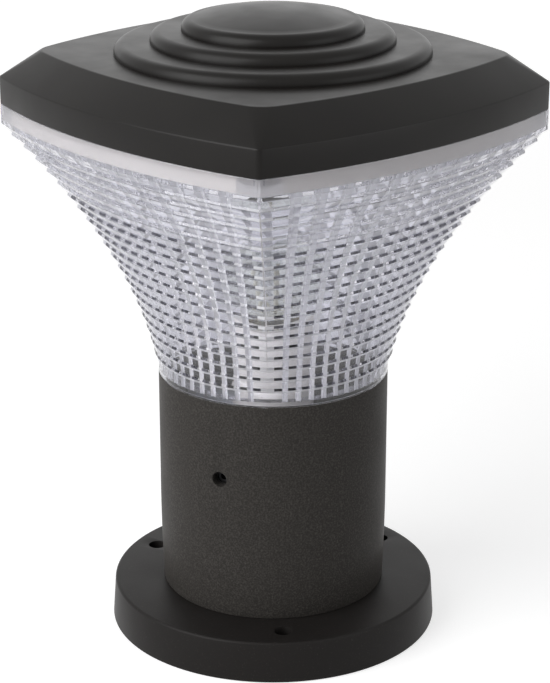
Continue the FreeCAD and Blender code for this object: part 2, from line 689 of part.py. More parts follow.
def reflector_screw_points(z):
    return [around(PLATE_SIDE_R - REFLECTOR_SCREW_INSET, k * 90, z) for k in range(4)]


def cap():
    """Moulded cap: skirt, bevel, flat plate and stepped dome, with screw bosses inside."""
    outside = cap_outside()
    body = outside.fuse(stepped_dome()).cut(cap_hollow())
    for point in tab_points(LENS_RIM_Z):
        boss = cylinder(CAP_BOSS_DIA / 2, PLATE_Z - LENS_RIM_Z, point)
        seat = cylinder(CAP_BOSS_DIA / 2, GASKET_THICK, point)
        body = body.fuse(boss.common(outside).fuse(seat))
    for point in reflector_screw_points(REFLECTOR_Z):
        body = body.fuse(cylinder(REFLECTOR_BOSS_DIA / 2, PLATE_Z - CAP_WALL / 2 - REFLECTOR_Z, point))
    for point in tab_points(LENS_RIM_Z - 1):
        body = body.cut(cylinder(CAP_SCREW_DIA / 2, CAP_SCREW_LENGTH, point))
    for point in reflector_screw_points(REFLECTOR_Z - 1):
        body = body.cut(cylinder(REFLECTOR_SCREW_DIA / 2, REFLECTOR_SCREW_LENGTH + 2, point))
    return body.removeSplitter()


def cap_screws():
    """Four screws up through the lens tabs into the cap."""
    return [pan_screw(point, Vector(0, 0, 1), CAP_SCREW_DIA, CAP_SCREW_LENGTH)
            for point in tab_points(LENS_RIM_Z - TAB_THICK)]


def reflector():
    """White tray under the cap; its skirt stands behind the lens's smooth band."""
    outer = inset(LENS_CORNER_R, LENS_SIDE_R, LENS_WALL + REFLECTOR_GAP)
    inner = inset(LENS_CORNER_R, LENS_SIDE_R, LENS_WALL + REFLECTOR_GAP + REFLECTOR_WALL)
    foot_z = REFLECTOR_Z - REFLECTOR_SKIRT
    body = prism(bowed_square(foot_z, *outer), REFLECTOR_SKIRT)
    body = body.cut(prism(bowed_square(foot_z, *inner), REFLECTOR_SKIRT - REFLECTOR_WALL))
    for point in tab_points(foot_z - 1):
        body = body.cut(cylinder(TAB_R + REFLECTOR_NOTCH, REFLECTOR_SKIRT + 2, point))
    for point in reflector_screw_points(foot_z):
        body = body.cut(cylinder(REFLECTOR_SCREW_DIA / 2, REFLECTOR_SKIRT + 1, point))
    solids = sorted(body.Solids, key=lambda solid: solid.Volume)
    return solids[-1]


def reflector_screws():
    return [pan_screw(point, Vector(0, 0, 1), REFLECTOR_SCREW_DIA, REFLECTOR_SCREW_LENGTH)
            for point in reflector_screw_points(REFLECTOR_Z - REFLECTOR_WALL)]


# ---------------------------------------------------------------- lampholder
def lampholder_bracket():
    """Steel strap across the spigot's top that carries the lampholder."""
    half = SPIGOT_R - STRAP_END_GAP
    strap = Part.makeBox(2 * half, STRAP_WIDTH, STRAP_THICK)
    strap.translate(Vector(-half, -STRAP_WIDTH / 2, STRAP_Z))
    strap.rotate(Vector(0, 0, 0), Vector(0, 0, 1), STRAP_AZIMUTH - 90)
    cut_z = STRAP_Z - 1
    strap = strap.cut(cylinder(STRAP_WIRE_HOLE_R, STRAP_THICK + 2, Vector(0, 0, cut_z)))
    for point in strap_points(strap_boss_radius(), cut_z):
        strap = strap.cut(cylinder(STRAP_SCREW_DIA / 2, STRAP_THICK + 2, point))
    for point in strap_points(HOLDER_SCREW_R, cut_z):
        strap = strap.cut(cylinder(HOLDER_SCREW_DIA / 2, STRAP_THICK + 2, point))
    ends = cylinder(half, STRAP_THICK, Vector(0, 0, STRAP_Z))
    return strap.common(ends)


def bracket_screws():
    return [pan_screw(point, Vector(0, 0, -1), STRAP_SCREW_DIA, STRAP_SCREW_LENGTH)
            for point in strap_points(strap_boss_radius(), HOLDER_Z)]


def holder_body():
    """White lampholder body with a waisted foot and an open mouth."""
    mouth_r = SHELL_BORE_R + SHELL_WALL + BOND_GAP
    top = HOLDER_Z + HOLDER_HEIGHT
    outer = mouth_r + HOLDER_WALL
    body = revolved([(0, HOLDER_Z), (HOLDER_R, HOLDER_Z), (HOLDER_R, HOLDER_FLOOR_Z - 4),
                     (HOLDER_R - 0.3, HOLDER_FLOOR_Z - 2, "mid"), (outer - 0.8, HOLDER_FLOOR_Z),
                     (outer - 0.8, top - 4), (outer, top - 3), (outer, top - 0.6),
                     (outer - 0.6, top), (mouth_r, top), (mouth_r, HOLDER_FLOOR_Z),
                     (0, HOLDER_FLOOR_Z)])
    for point in strap_points(HOLDER_SCREW_R, HOLDER_Z):
        body = body.cut(cylinder(HOLDER_SCREW_DIA / 2, HOLDER_SCREW_LENGTH, point))
    return body


def holder_screws():
    return [pan_screw(point, Vector(0, 0, 1), HOLDER_SCREW_DIA, HOLDER_SCREW_LENGTH)
            for point in strap_points(HOLDER_SCREW_R, STRAP_Z)]


def holder_shell():
    """Screw shell of the lampholder."""
    foot = HOLDER_FLOOR_Z + SHELL_LIFT
    top = HOLDER_Z + HOLDER_HEIGHT - SHELL_TOP_DROP
    return tube(SHELL_BORE_R + SHELL_WALL, SHELL_BORE_R, top - foot, foot)


def holder_contact():
    """Centre contact on the lampholder's floor."""
    rim = CONTACT_THICK / 2
    return revolved([(0, HOLDER_FLOOR_Z), (CONTACT_R + 2, HOLDER_FLOOR_Z),
                     (CONTACT_R + 2, HOLDER_FLOOR_Z + rim), (CONTACT_R, HOLDER_FLOOR_Z + rim),
                     (CONTACT_R - 1, HOLDER_FLOOR_Z + CONTACT_THICK),
                     (0, HOLDER_FLOOR_Z + CONTACT_THICK)])


# ---------------------------------------------------------------- bulb
def globe_outline(shrink):
    """Half outline of the bulb's glass, moved inwards by an amount, foot first."""
    globe_r = BULB_GLOBE_R - shrink
    neck_r = BULB_NECK_R - shrink
    tangent = math.radians(-48)
    join_r = globe_r * math.cos(tangent)
    join_z = GLOBE_Z + globe_r * math.sin(tangent)
    shoulder_z = BULB_NECK_Z + 3
    belly = math.radians(21)
    return [(neck_r, shoulder_z),
            ((neck_r + join_r) / 2 - 0.35, (shoulder_z + join_z) / 2 + 0.35, "mid"),
            (join_r, join_z),
            (globe_r * math.cos(belly), GLOBE_Z + globe_r * math.sin(belly), "mid"),
            (0, GLOBE_Z + globe_r)]


def bulb_glass():
    """Clear glass envelope."""
    foot_z = BULB_NECK_Z - 4
    outer = revolved([(0, foot_z), (BULB_NECK_R, foot_z)] + globe_outline(0))
    inner_foot = (BULB_NECK_R - BULB_GLASS_WALL, foot_z - 1)
    inner = revolved([(0, foot_z - 1), inner_foot] + globe_outline(BULB_GLASS_WALL))
    return outer.cut(inner)


def bulb_cap():
    """Screw cap: a thin shell rolled into rounded thread turns."""
    outline = []
    crest = BULB_CAP_R
    root = BULB_CAP_R - BULB_THREAD_DEPTH
    z = BULB_SHELL_Z
    outline.append((root, z))
    for _ in range(BULB_THREAD_COUNT):
        outline.append((crest, z + BULB_THREAD_PITCH * 0.4))
        outline.append((crest, z + BULB_THREAD_PITCH * 0.6))
        outline.append((root, z + BULB_THREAD_PITCH))
        z += BULB_THREAD_PITCH
    top = BULB_NECK_Z + 1.5
    outline += [(root, top), (root - BULB_CAP_WALL, top), (root - BULB_CAP_WALL, BULB_SHELL_Z)]
    return revolved(outline)


def bulb_insulator():
    """Dark glass cone between the screw shell and the tip."""
    root = BULB_CAP_R - BULB_THREAD_DEPTH
    foot = BULB_TIP_Z + BULB_TIP_HEIGHT
    return revolved([(0, foot), (BULB_TIP_R + 0.4, foot), (root - 1, BULB_SHELL_Z),
                     (root - 1, BULB_SHELL_Z + 2), (0, BULB_SHELL_Z + 2)])


def bulb_contact():
    foot = BULB_TIP_Z
    top = BULB_TIP_Z + BULB_TIP_HEIGHT
    return revolved([(0, foot), (BULB_TIP_R * 0.6, foot + 0.15, "mid"), (BULB_TIP_R, foot + 0.7),
                     (BULB_TIP_R, top), (0, top)])


def stem_top_z():
    return BULB_NECK_Z + 12


def bulb_stem():
    """Glass mount that closes the bulb's neck and carries the light-emitting sticks."""
    foot_z = BULB_NECK_Z - 4
    flare_r = BULB_NECK_R - BULB_GLASS_WALL - BOND_GAP
    return revolved([(0, foot_z), (flare_r, foot_z), (flare_r, foot_z + 0.8),
                     (flare_r * 0.5, foot_z + 4, "mid"), (2.4, foot_z + 10),
                     (2.4, stem_top_z()), (0, stem_top_z())])


def bulb_filaments():
    """Light-emitting sticks round the stem, leaning outwards to the top."""
    sticks = []
    for k in range(FILAMENT_COUNT):
        azimuth = 45 + k * 360 / FILAMENT_COUNT
        foot = around(2.4 + FILAMENT_R + 0.1, azimuth, stem_top_z() - 3)
        lean = (around(0.16, azimuth) + Vector(0, 0, 1)).normalize()
        sticks.append(cylinder(FILAMENT_R, FILAMENT_LENGTH, foot, lean))
    return sticks


# ---------------------------------------------------------------- wiring
def terminal_centre():
    return Vector(0, TERMINAL_Y + TERMINAL_DEPTH / 2, 0)


def pole_x(pole):
    return (pole - 1) * POLE_PITCH


def terminal_screw_points(z):
    return [Vector(pole_x(pole), TERMINAL_Y + TERMINAL_DEPTH * share, z)
            for pole in range(3) for share in (0.2, 0.8)]


def terminal_block():
    """Three-pole terminal block on the floor inside the spigot."""
    width = 3 * POLE_PITCH
    low = 5.0
    block = Part.makeBox(width, TERMINAL_DEPTH, low, Vector(-width / 2, TERMINAL_Y, BASE_TOP_Z))
    for pole in range(3):
        tower = Part.makeBox(POLE_PITCH * 0.8, TERMINAL_DEPTH, TERMINAL_HEIGHT,
                             Vector(pole_x(pole) - POLE_PITCH * 0.4, TERMINAL_Y, BASE_TOP_Z))
        waist = Part.makeBox(POLE_PITCH, TERMINAL_DEPTH * 0.3, TERMINAL_HEIGHT,
                             Vector(pole_x(pole) - POLE_PITCH / 2,
                                    TERMINAL_Y + TERMINAL_DEPTH * 0.35, BASE_TOP_Z + ENTRY_HEIGHT + 2))
        block = block.fuse(tower.cut(waist))
    for point in terminal_screw_points(BASE_TOP_Z + ENTRY_HEIGHT + 2.2):
        block = block.cut(cylinder(2.2, TERMINAL_HEIGHT, point))
    centre = terminal_centre() + Vector(0, 0, BASE_TOP_Z - 1)
    block = block.cut(cylinder(REFLECTOR_SCREW_DIA / 2, TERMINAL_HEIGHT + 2, centre))
    seat = centre + Vector(0, 0, 1 + ENTRY_HEIGHT - 1)
    return block.cut(cylinder(3.2, TERMINAL_HEIGHT, seat)).removeSplitter()


def terminal_screws():
    """Clamping screws, two for each pole."""
    foot_z = BASE_TOP_Z + ENTRY_HEIGHT + 2.2
    screws = []
    for point in terminal_screw_points(foot_z):
        screw = cylinder(1.9, 2.4, point)
        slot = Part.makeBox(5, 0.7, 0.9, point + Vector(-2.5, -0.35, 1.6))
        screws.append(screw.cut(slot))
    return screws


def terminal_fixing_screw():
    seat = terminal_centre() + Vector(0, 0, BASE_TOP_Z + ENTRY_HEIGHT - 1)
    return pan_screw(seat, Vector(0, 0, -1), REFLECTOR_SCREW_DIA, ENTRY_HEIGHT + 1)


def earth_lug_z():
    """Height of the earth boss, so that the lug's barrel is level with the terminals."""
    return LEAD_Z - LEAD_R - 0.3


def earth_direction():
    """Level direction from the earth screw to the bend of the earth lead."""
    bend = Vector(pole_x(0), TERMINAL_Y - LEAD_RUN, 0)
    return (bend - Vector(EARTH_SCREW_X, EARTH_SCREW_Y, 0)).normalize()


def earth_lug():
    """Tinned ring terminal with its crimped barrel."""
    foot = Vector(EARTH_SCREW_X, EARTH_SCREW_Y, earth_lug_z())
    plate = cylinder(4.2, 0.9, foot)
    along = earth_direction()
    barrel_start = foot + along * 4.0 + Vector(0, 0, LEAD_R + 0.3)
    barrel = cylinder(LEAD_R + 0.3, 7.0, barrel_start, along)
    lug = plate.fuse(barrel)
    lug = lug.cut(cylinder(4.1, 5, foot + Vector(0, 0, 0.9)))
    return lug.cut(cylinder(STRAP_SCREW_DIA / 2, 3, foot - Vector(0, 0, 1)))


def earth_screw():
    seat = Vector(EARTH_SCREW_X, EARTH_SCREW_Y, earth_lug_z() + 0.9)
    return pan_screw(seat, Vector(0, 0, -1), STRAP_SCREW_DIA, 8.0)


def earth_lead():
    """Lead from the first pole to the earth lug, level all the way."""
    bend = Vector(pole_x(0), TERMINAL_Y - LEAD_RUN, LEAD_Z)
    along = earth_direction()
    end = Vector(EARTH_SCREW_X, EARTH_SCREW_Y, LEAD_Z) + along * 11.0
    return bent_wire([Vector(pole_x(0), TERMINAL_Y, LEAD_Z), bend, end], LEAD_R, Vector(0, -1, 0))


def lamp_lead(pole, end_x):
    """Lead from a pole up to the lampholder's underside."""
    x = pole_x(pole)
    points = [Vector(x, TERMINAL_Y, LEAD_Z),
              Vector(x, TERMINAL_Y - LEAD_RUN, LEAD_Z),
              Vector(end_x, 0, HOLDER_Z - LEAD_END_GAP)]
    return bent_wire(points, LEAD_R, Vector(0, -1, 0))


# ---------------------------------------------------------------- assembly
def build_nodes():
    """Every piece of the light by its name."""
    live, live_bends = lamp_lead(2, LIVE_END_X)
    neutral, neutral_bends = lamp_lead(1, NEUTRAL_END_X)
    earth, earth_bends = earth_lead()
    for name, bends in (("live", live_bends), ("neutral", neutral_bends), ("earth", earth_bends)):
        print(name, "lead bend radii", [round(bend, 1) for bend in bends])
    nodes = {
        "base_flange": base_flange(),
        "base_gasket": base_gasket(),
        "cable_grommet": cable_grommet(),
        "spigot": spigot(),
        "spigot_screws": spigot_screws(),
        "spigot_seal": spigot_seal(),
        "neck_tube": neck_tube(),
        "lens": lens(),
        "neck_seal": neck_seal(),
        "cap": cap(),
        "cap_seal": cap_seal(),
        "cap_screws": cap_screws(),
        "reflector": reflector(),
        "reflector_screws": reflector_screws(),
        "lampholder_bracket": lampholder_bracket(),
        "bracket_screws": bracket_screws(),
        "holder_body": holder_body(),
        "holder_shell": holder_shell(),
        "holder_contact": holder_contact(),
        "holder_screws": holder_screws(),
        "bulb_glass": bulb_glass(),
        "bulb_stem": bulb_stem(),
        "bulb_filaments": bulb_filaments(),
        "bulb_cap": bulb_cap(),
        "bulb_insulator": bulb_insulator(),
        "bulb_contact": bulb_contact(),
        "terminal_block": terminal_block(),
        "terminal_screws": terminal_screws(),
        "terminal_fixing_screw": terminal_fixing_screw(),
        "earth_lug": earth_lug(),
        "earth_screw": earth_screw(),
        "live_lead": live,
        "neutral_lead": neutral,
        "earth_lead": earth,
    }
    for index, azimuth in enumerate(side_azimuths()):
        nodes["set_screw_%d" % (index + 1)] = set_screw(azimuth)
    return nodes


def main():
    os.makedirs("parts", exist_ok=True)
    for name, shape in build_nodes().items():
        if isinstance(shape, list):
            shape = Part.makeCompound(shape)
        shape.exportStep("parts/%s.step" % name)
        box = shape.BoundBox
        print("%-22s solids %d valid %s volume %9.1f z %6.1f to %6.1f"
              % (name, len(shape.Solids), shape.isValid(), shape.Volume, box.ZMin, box.ZMax))


main()
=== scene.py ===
"""Looks of an outdoor pillar light: a round base and neck, a clear prismatic lens and a flat black cap.

Every size is in millimetres until a piece is finished, and in metres in the scene. The origin is the
middle of the base's underside, and +Z goes up along the light's axis.
"""

import json
import logging
import math
from abc import ABC, abstractmethod
from collections.abc import Callable, Iterable, Sequence
from dataclasses import dataclass
from enum import Enum, IntEnum

import bmesh
import bpy
from bmesh.types import BMEdge, BMesh, BMVert
from mathutils import Matrix, Vector


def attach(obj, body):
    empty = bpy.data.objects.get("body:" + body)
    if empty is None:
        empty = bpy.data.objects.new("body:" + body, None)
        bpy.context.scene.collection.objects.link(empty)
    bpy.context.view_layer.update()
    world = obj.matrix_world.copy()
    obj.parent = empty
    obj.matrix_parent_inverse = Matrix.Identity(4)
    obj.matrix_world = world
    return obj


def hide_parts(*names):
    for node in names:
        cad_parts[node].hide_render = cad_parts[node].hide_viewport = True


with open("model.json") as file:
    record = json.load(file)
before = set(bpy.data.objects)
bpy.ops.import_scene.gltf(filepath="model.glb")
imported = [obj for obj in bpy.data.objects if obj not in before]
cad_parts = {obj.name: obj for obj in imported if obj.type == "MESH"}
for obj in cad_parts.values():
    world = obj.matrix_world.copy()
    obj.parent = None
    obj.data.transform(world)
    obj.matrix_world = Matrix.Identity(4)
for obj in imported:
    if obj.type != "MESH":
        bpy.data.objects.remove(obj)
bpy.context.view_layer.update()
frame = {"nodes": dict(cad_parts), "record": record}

MM = 0.001
LOG = logging.getLogger("pillar_light")
Corner = tuple[float, float, float]     # radius, height and how much the corner is rounded
Ring = list[Vector]
Tree = bpy.types.NodeTree
Socket = bpy.types.NodeSocket


# ---------------------------------------------------------------- colour and nodes
def srgb(code: str) -> tuple[float, float, float, float]:
    """Turns an sRGB hex colour into the linear one that a shader takes.

    Args:
        code: Six hex digits after a hash sign.

    Returns:
        Linear red, green, blue and an alpha of 1.
    """
    parts = [int(code[i:i + 2], 16) / 255 for i in (1, 3, 5)]
    linear = [p / 12.92 if p <= 0.04045 else ((p + 0.055) / 1.055) ** 2.4 for p in parts]
    return (linear[0], linear[1], linear[2], 1.0)


def add_node(tree: Tree, kind: str, settings: dict | None = None,
             links: dict | None = None) -> bpy.types.Node:
    """Adds a node, sets it up and links what feeds it.

    Args:
        tree: The node tree that it joins.
        kind: The node's type name.
        settings: Values by attribute name, or by the name or number of an input.
        links: Output sockets by the name or number of the input that they feed.

    Returns:
        The new node.
    """
    node = tree.nodes.new(kind)
    for key, value in (settings or {}).items():
        if isinstance(key, int) or key in node.inputs:
            node.inputs[key].default_value = value
        else:
            setattr(node, key, value)
    for key, socket in (links or {}).items():
        tree.links.new(socket, node.inputs[key])
    return node


def per_mm(size: float) -> float:
    """Texture scale, on coordinates in metres, at which a pattern repeats about every size in mm."""
    return 1000.0 / size


# ---------------------------------------------------------------- outlines
@dataclass(frozen=True)
class BowedSquare:
    """Square outline with outward bowed sides; equal radii make it a circle."""

    corner_r: float
    side_r: float
    corner_round: float = 0.2

    def bow(self) -> tuple[float, float]:
        """Radius of a side's arc and how far its centre lies from the axis."""
        half = self.corner_r / math.sqrt(2)
        sag = self.side_r - half
        bow_r = (half ** 2 + sag ** 2) / (2 * sag)
        return bow_r, self.side_r - bow_r

    def side_length(self) -> float:
        """Length of one side's arc, from corner to corner."""
        bow_r, _ = self.bow()
        return 2 * bow_r * math.asin(self.corner_r / math.sqrt(2) / bow_r)

    def inset(self, distance: float, corner_round: float | None = None) -> "BowedSquare":
        """Outline that lies a distance inside this one.

        Args:
            distance: How far inside, in mm.
            corner_round: Radius of its corners, or None to keep this outline's.

        Returns:
            The smaller outline.
        """
        bow_r, _ = self.bow()
        opening = math.pi / 4 + math.asin(self.corner_r / math.sqrt(2) / bow_r)
        rounding = self.corner_round if corner_round is None else corner_round
        return BowedSquare(self.corner_r - distance / math.sin(opening), self.side_r - distance, rounding)

    def ring(self, z: float, shares: Sequence[float], corner_steps: int,
             depths: Sequence[float] | None = None) -> Ring:
        """Points round the outline at a height.

        Args:
            z: The height, in mm.
            shares: Places along a side, from -1 at one corner to 1 at the next.
            corner_steps: How many points the corner's own arc takes between two sides.
            depths: How far inwards each place lies, or None for none.

        Returns:
            The points of the whole outline, in order.
        """
        bow_r, centre = self.bow()
        diagonal = math.sqrt(0.5)
        reach = centre * diagonal + math.sqrt((bow_r - self.corner_round) ** 2 - centre ** 2 / 2)
        spread = math.atan2(reach * diagonal, reach * diagonal - centre)
        middle = Vector((reach * diagonal, reach * diagonal, 0))
        points: Ring = []
        for quarter in range(4):
            turn = Matrix.Rotation(quarter * math.pi / 2, 3, "Z")
            for i, share in enumerate(shares):
                r = bow_r - (depths[i] if depths else 0.0)
                at = Vector((centre + r * math.cos(share * spread), r * math.sin(share * spread), 0))
                points.append(turn @ at + Vector((0, 0, z)))
            for k in range(1, corner_steps + 1):
                angle = spread + (math.pi / 2 - 2 * spread) * k / (corner_steps + 1)
                at = middle + self.corner_round * Vector((math.cos(angle), math.sin(angle), 0))
                points.append(turn @ at + Vector((0, 0, z)))
        return points


def ring_like(pattern: Ring, radius: float, z: float) -> Ring:
    """Circle whose points lie in the same directions as another ring's.

    Args:
        pattern: The ring that gives the directions.
        radius: The circle's radius, in mm.
        z: Its height, in mm.

    Returns:
        The circle's points.
    """
    return [Vector((p.x, p.y, 0)).normalized() * radius + Vector((0, 0, z)) for p in pattern]


def around(radius: float, azimuth: float, z: float = 0.0) -> Vector:
    """Point at an azimuth in degrees round the light's axis, in mm."""
    angle = math.radians(azimuth)
    return Vector((radius * math.sin(angle), -radius * math.cos(angle), z))


# ---------------------------------------------------------------- shaping
class Shape:
    """A mesh in mm, shaped with bmesh operators, that becomes one piece of the light."""

    def __init__(self) -> None:
        """Starts empty."""
        self.bm: BMesh = bmesh.new()

    @classmethod
    def turned(cls, corners: Sequence[Corner], steps: int = 96, solid: bool = False,
               segments: int = 4) -> "Shape":
        """Turns a half section round the Z axis.

        Args:
            corners: The section's corners, each with its rounding.
            steps: How many steps the full turn takes.
            solid: True where the section starts and ends on the axis.
            segments: How many edges a rounded corner gets.

        Returns:
            The turned shape.
        """
        shape = cls()
        bm = shape.bm
        verts = [bm.verts.new((r, 0, z)) for r, z, _ in corners]
        for a, b in zip(verts, verts[1:]):
            bm.edges.new((a, b))
        if not solid:
            bm.edges.new((verts[-1], verts[0]))
        rounded: dict[float, list[BMVert]] = {}
        for vert, (_, _, radius) in zip(verts, corners):
            if radius > 0:
                rounded.setdefault(radius, []).append(vert)
        for radius, group in rounded.items():
            bmesh.ops.bevel(bm, geom=group, offset=radius, segments=segments, profile=0.5,
                            affect="VERTICES", material=-1)
        bmesh.ops.spin(bm, geom=bm.verts[:] + bm.edges[:], cent=(0, 0, 0), axis=(0, 0, 1),
                       angle=2 * math.pi, steps=steps, use_merge=True)
        shape.tidy()
        return shape

    @classmethod
    def lofted(cls, rings: Sequence[Ring], closed: bool = True) -> tuple["Shape", list[list[BMEdge]]]:
        """Extrudes a ring of edges from outline to outline.

        Args:
            rings: The outlines, all with as many points.
            closed: True to bridge the last ring to the first, False to fill both ends.

        Returns:
            The shape, and the edges of each ring.
        """
        shape = cls()
        bm = shape.bm
        made = bmesh.ops.create_circle(bm, segments=len(rings[0]), radius=1.0)["verts"]
        verts = sorted(made, key=lambda v: math.atan2(v.co.y, v.co.x) % (2 * math.pi))
        edges = [bm.edges.get((a, b)) for a, b in zip(verts, verts[1:] + verts[:1])]
        ring_edges = [edges]
        for vert, point in zip(verts, rings[0]):
            vert.co = point
        for ring in rings[1:]:
            grown = bmesh.ops.extrude_edge_only(bm, edges=edges)["geom"]
            fresh = {g for g in grown if isinstance(g, BMVert)}
            verts = [next(e.other_vert(v) for e in v.link_edges if e.other_vert(v) in fresh) for v in verts]
            edges = [bm.edges.get((a, b)) for a, b in zip(verts, verts[1:] + verts[:1])]
            ring_edges.append(edges)
            for vert, point in zip(verts, ring):
                vert.co = point
        if closed:
            bmesh.ops.bridge_loops(bm, edges=ring_edges[0] + ring_edges[-1])
        else:
            bmesh.ops.edgeloop_fill(bm, edges=ring_edges[0])
            bmesh.ops.edgeloop_fill(bm, edges=ring_edges[-1])
        return shape, ring_edges

    @classmethod
    def rod(cls, radius: float, start: Vector, end: Vector, steps: int = 32) -> "Shape":
        """Plain round bar between two points, used to cut holes and to build bosses."""
        shape = cls()
        along = end - start
        place = (Matrix.Translation((start + end) / 2)
                 @ Vector((0, 0, 1)).rotation_difference(along).to_matrix().to_4x4())
        bmesh.ops.create_cone(shape.bm, cap_ends=True, segments=steps, radius1=radius, radius2=radius,
                              depth=along.length, matrix=place)
        return shape

    @classmethod
    def block(cls, size: Vector, place: Matrix) -> "Shape":
        """Plain block about a place, used for the base's ribs."""
        shape = cls()
        bmesh.ops.create_cube(shape.bm, size=1.0, matrix=place @ Matrix.Diagonal((*size, 1)))
        return shape

    def tidy(self) -> "Shape":
        """Closes seams and poles and turns every face outwards."""
        bmesh.ops.remove_doubles(self.bm, verts=self.bm.verts[:], dist=1e-4)
        bmesh.ops.dissolve_degenerate(self.bm, edges=self.bm.edges[:], dist=1e-5)
        bmesh.ops.recalc_face_normals(self.bm, faces=self.bm.faces[:])
        return self

    def soften(self, edges: Iterable[BMEdge], radius: float, segments: int = 2) -> "Shape":
        """Rounds some edges.

        Args:
            edges: The edges to round; those that are gone are left out.
            radius: The width of the rounding, in mm.
            segments: How many faces it gets.

        Returns:
            This shape.
        """
        chosen = [e for e in edges if e.is_valid and e.is_manifold]
        bmesh.ops.bevel(self.bm, geom=chosen, offset=radius, segments=segments, profile=0.5,
                        affect="EDGES", clamp_overlap=True, material=-1)
        return self

    def sharp(self, where: Callable[[Vector], bool], least: float = 30.0) -> list[BMEdge]:
        """Finds sharp edges in a place.

        Args:
            where: Test that both ends of an edge pass.
            least: Smallest angle between the edge's faces, in degrees.

        Returns:
            The edges.
        """
        return [e for e in self.bm.edges if e.is_manifold and e.calc_face_angle() > math.radians(least)
                and where(e.verts[0].co) and where(e.verts[1].co)]

    def add(self, other: "Shape", *places: Matrix) -> "Shape":
        """Adds another shape's solids beside this one's.

        Args:
            other: The shape to add; it is used up.
            places: Where each copy goes, or none for one copy as it is.

        Returns:
            This shape.
        """
        mesh = bpy.data.meshes.new("scratch")
        other.bm.to_mesh(mesh)
        for place in places or (Matrix.Identity(4),):
            before = set(self.bm.verts)
            self.bm.from_mesh(mesh)
            fresh = [v for v in self.bm.verts if v not in before]
            bmesh.ops.transform(self.bm, matrix=place, verts=fresh)
        bpy.data.meshes.remove(mesh)
        other.bm.free()
        return self

    def moved(self, place: Matrix) -> "Shape":
        """Moves the whole shape."""
        bmesh.ops.transform(self.bm, matrix=place, verts=self.bm.verts[:])
        return self

    def _scratch(self) -> bpy.types.Object:
        """This shape as an object that holds it for a boolean step."""
        mesh = bpy.data.meshes.new("scratch")
        self.bm.to_mesh(mesh)
        self.bm.free()
        holder = bpy.data.objects.new("scratch", mesh)
        bpy.context.scene.collection.objects.link(holder)
        return holder

    def _combine(self, others: Iterable["Shape"], operation: str) -> "Shape":
        """Cuts or joins other shapes with a boolean step."""
        base = self._scratch()
        tools = [other._scratch() for other in others]
        for tool in tools:
            step = base.modifiers.new("step", "BOOLEAN")
            step.operation = operation
            step.solver = "EXACT"
            step.object = tool
        view = bpy.context.evaluated_depsgraph_get()
        result = bpy.data.meshes.new_from_object(base.evaluated_get(view))
        self.bm = bmesh.new()
        self.bm.from_mesh(result)
        used = [holder.data for holder in [base, *tools]] + [result]
        for holder in [base, *tools]:
            bpy.data.objects.remove(holder)
        for mesh in used:
            bpy.data.meshes.remove(mesh)
        return self

    def cut(self, *others: "Shape") -> "Shape":
        """Cuts other shapes out of this one."""
        return self._combine(others, "DIFFERENCE")

    def join(self, *others: "Shape") -> "Shape":
        """Joins other shapes to this one as one solid."""
        return self._combine(others, "UNION")

    def paint(self, low: Sequence[BMEdge], high: Sequence[BMEdge], number: int,
              places: Iterable[int] | None = None) -> None:
        """Gives faces between two rings' edges another finish.

        Args:
            low: Edges of one ring.
            high: The edges of the next ring, in the same order.
            number: Which of the piece's finishes they get.
            places: Which edges of the rings to follow, or None for all.
        """
        for k in range(len(low)) if places is None else places:
            for face in set(low[k].link_faces) & set(high[k].link_faces):
                face.material_index = number

    def finish(self, name: str, finish: "Finish | Sequence[Finish]", body: str, slot: str,
               replaces: Sequence[str] = (), flat_above: float = 30.0) -> bpy.types.Object:
        """Turns the shape into a piece of the light.

        Args:
            name: The piece's name.
            finish: What it is made of, or its several finishes in order.
            body: The body that it moves with.
            slot: The record's material slot for its finish; not used.
            replaces: The nodes that it stands for.
            flat_above: Angle in degrees above which an edge stays crisp.

        Returns:
            The new object.
        """
        bmesh.ops.scale(self.bm, vec=(MM, MM, MM), verts=self.bm.verts[:])
        mesh = bpy.data.meshes.new(name)
        self.bm.to_mesh(mesh)
        self.bm.free()
        mesh.shade_smooth()
        mesh.set_sharp_from_angle(angle=math.radians(flat_above))
        for each in [finish] if isinstance(finish, Finish) else finish:
            mesh.materials.append(each.material())
        piece = bpy.data.objects.new(name, mesh)
        bpy.context.scene.collection.objects.link(piece)
        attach(piece, body)
        if replaces:
            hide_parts(*replaces)
        LOG.info("%s: %d faces, rides on %s", name, len(mesh.polygons), body)
        return piece


# ---------------------------------------------------------------- finishes
class Surface(Enum):
    """How a metal part's surface was left: how much finer its grain is along X, Y and Z."""

    PLATED = (1.0, 1.0, 1.0)
    DRAWN = (1.0, 1.0, 6.0)


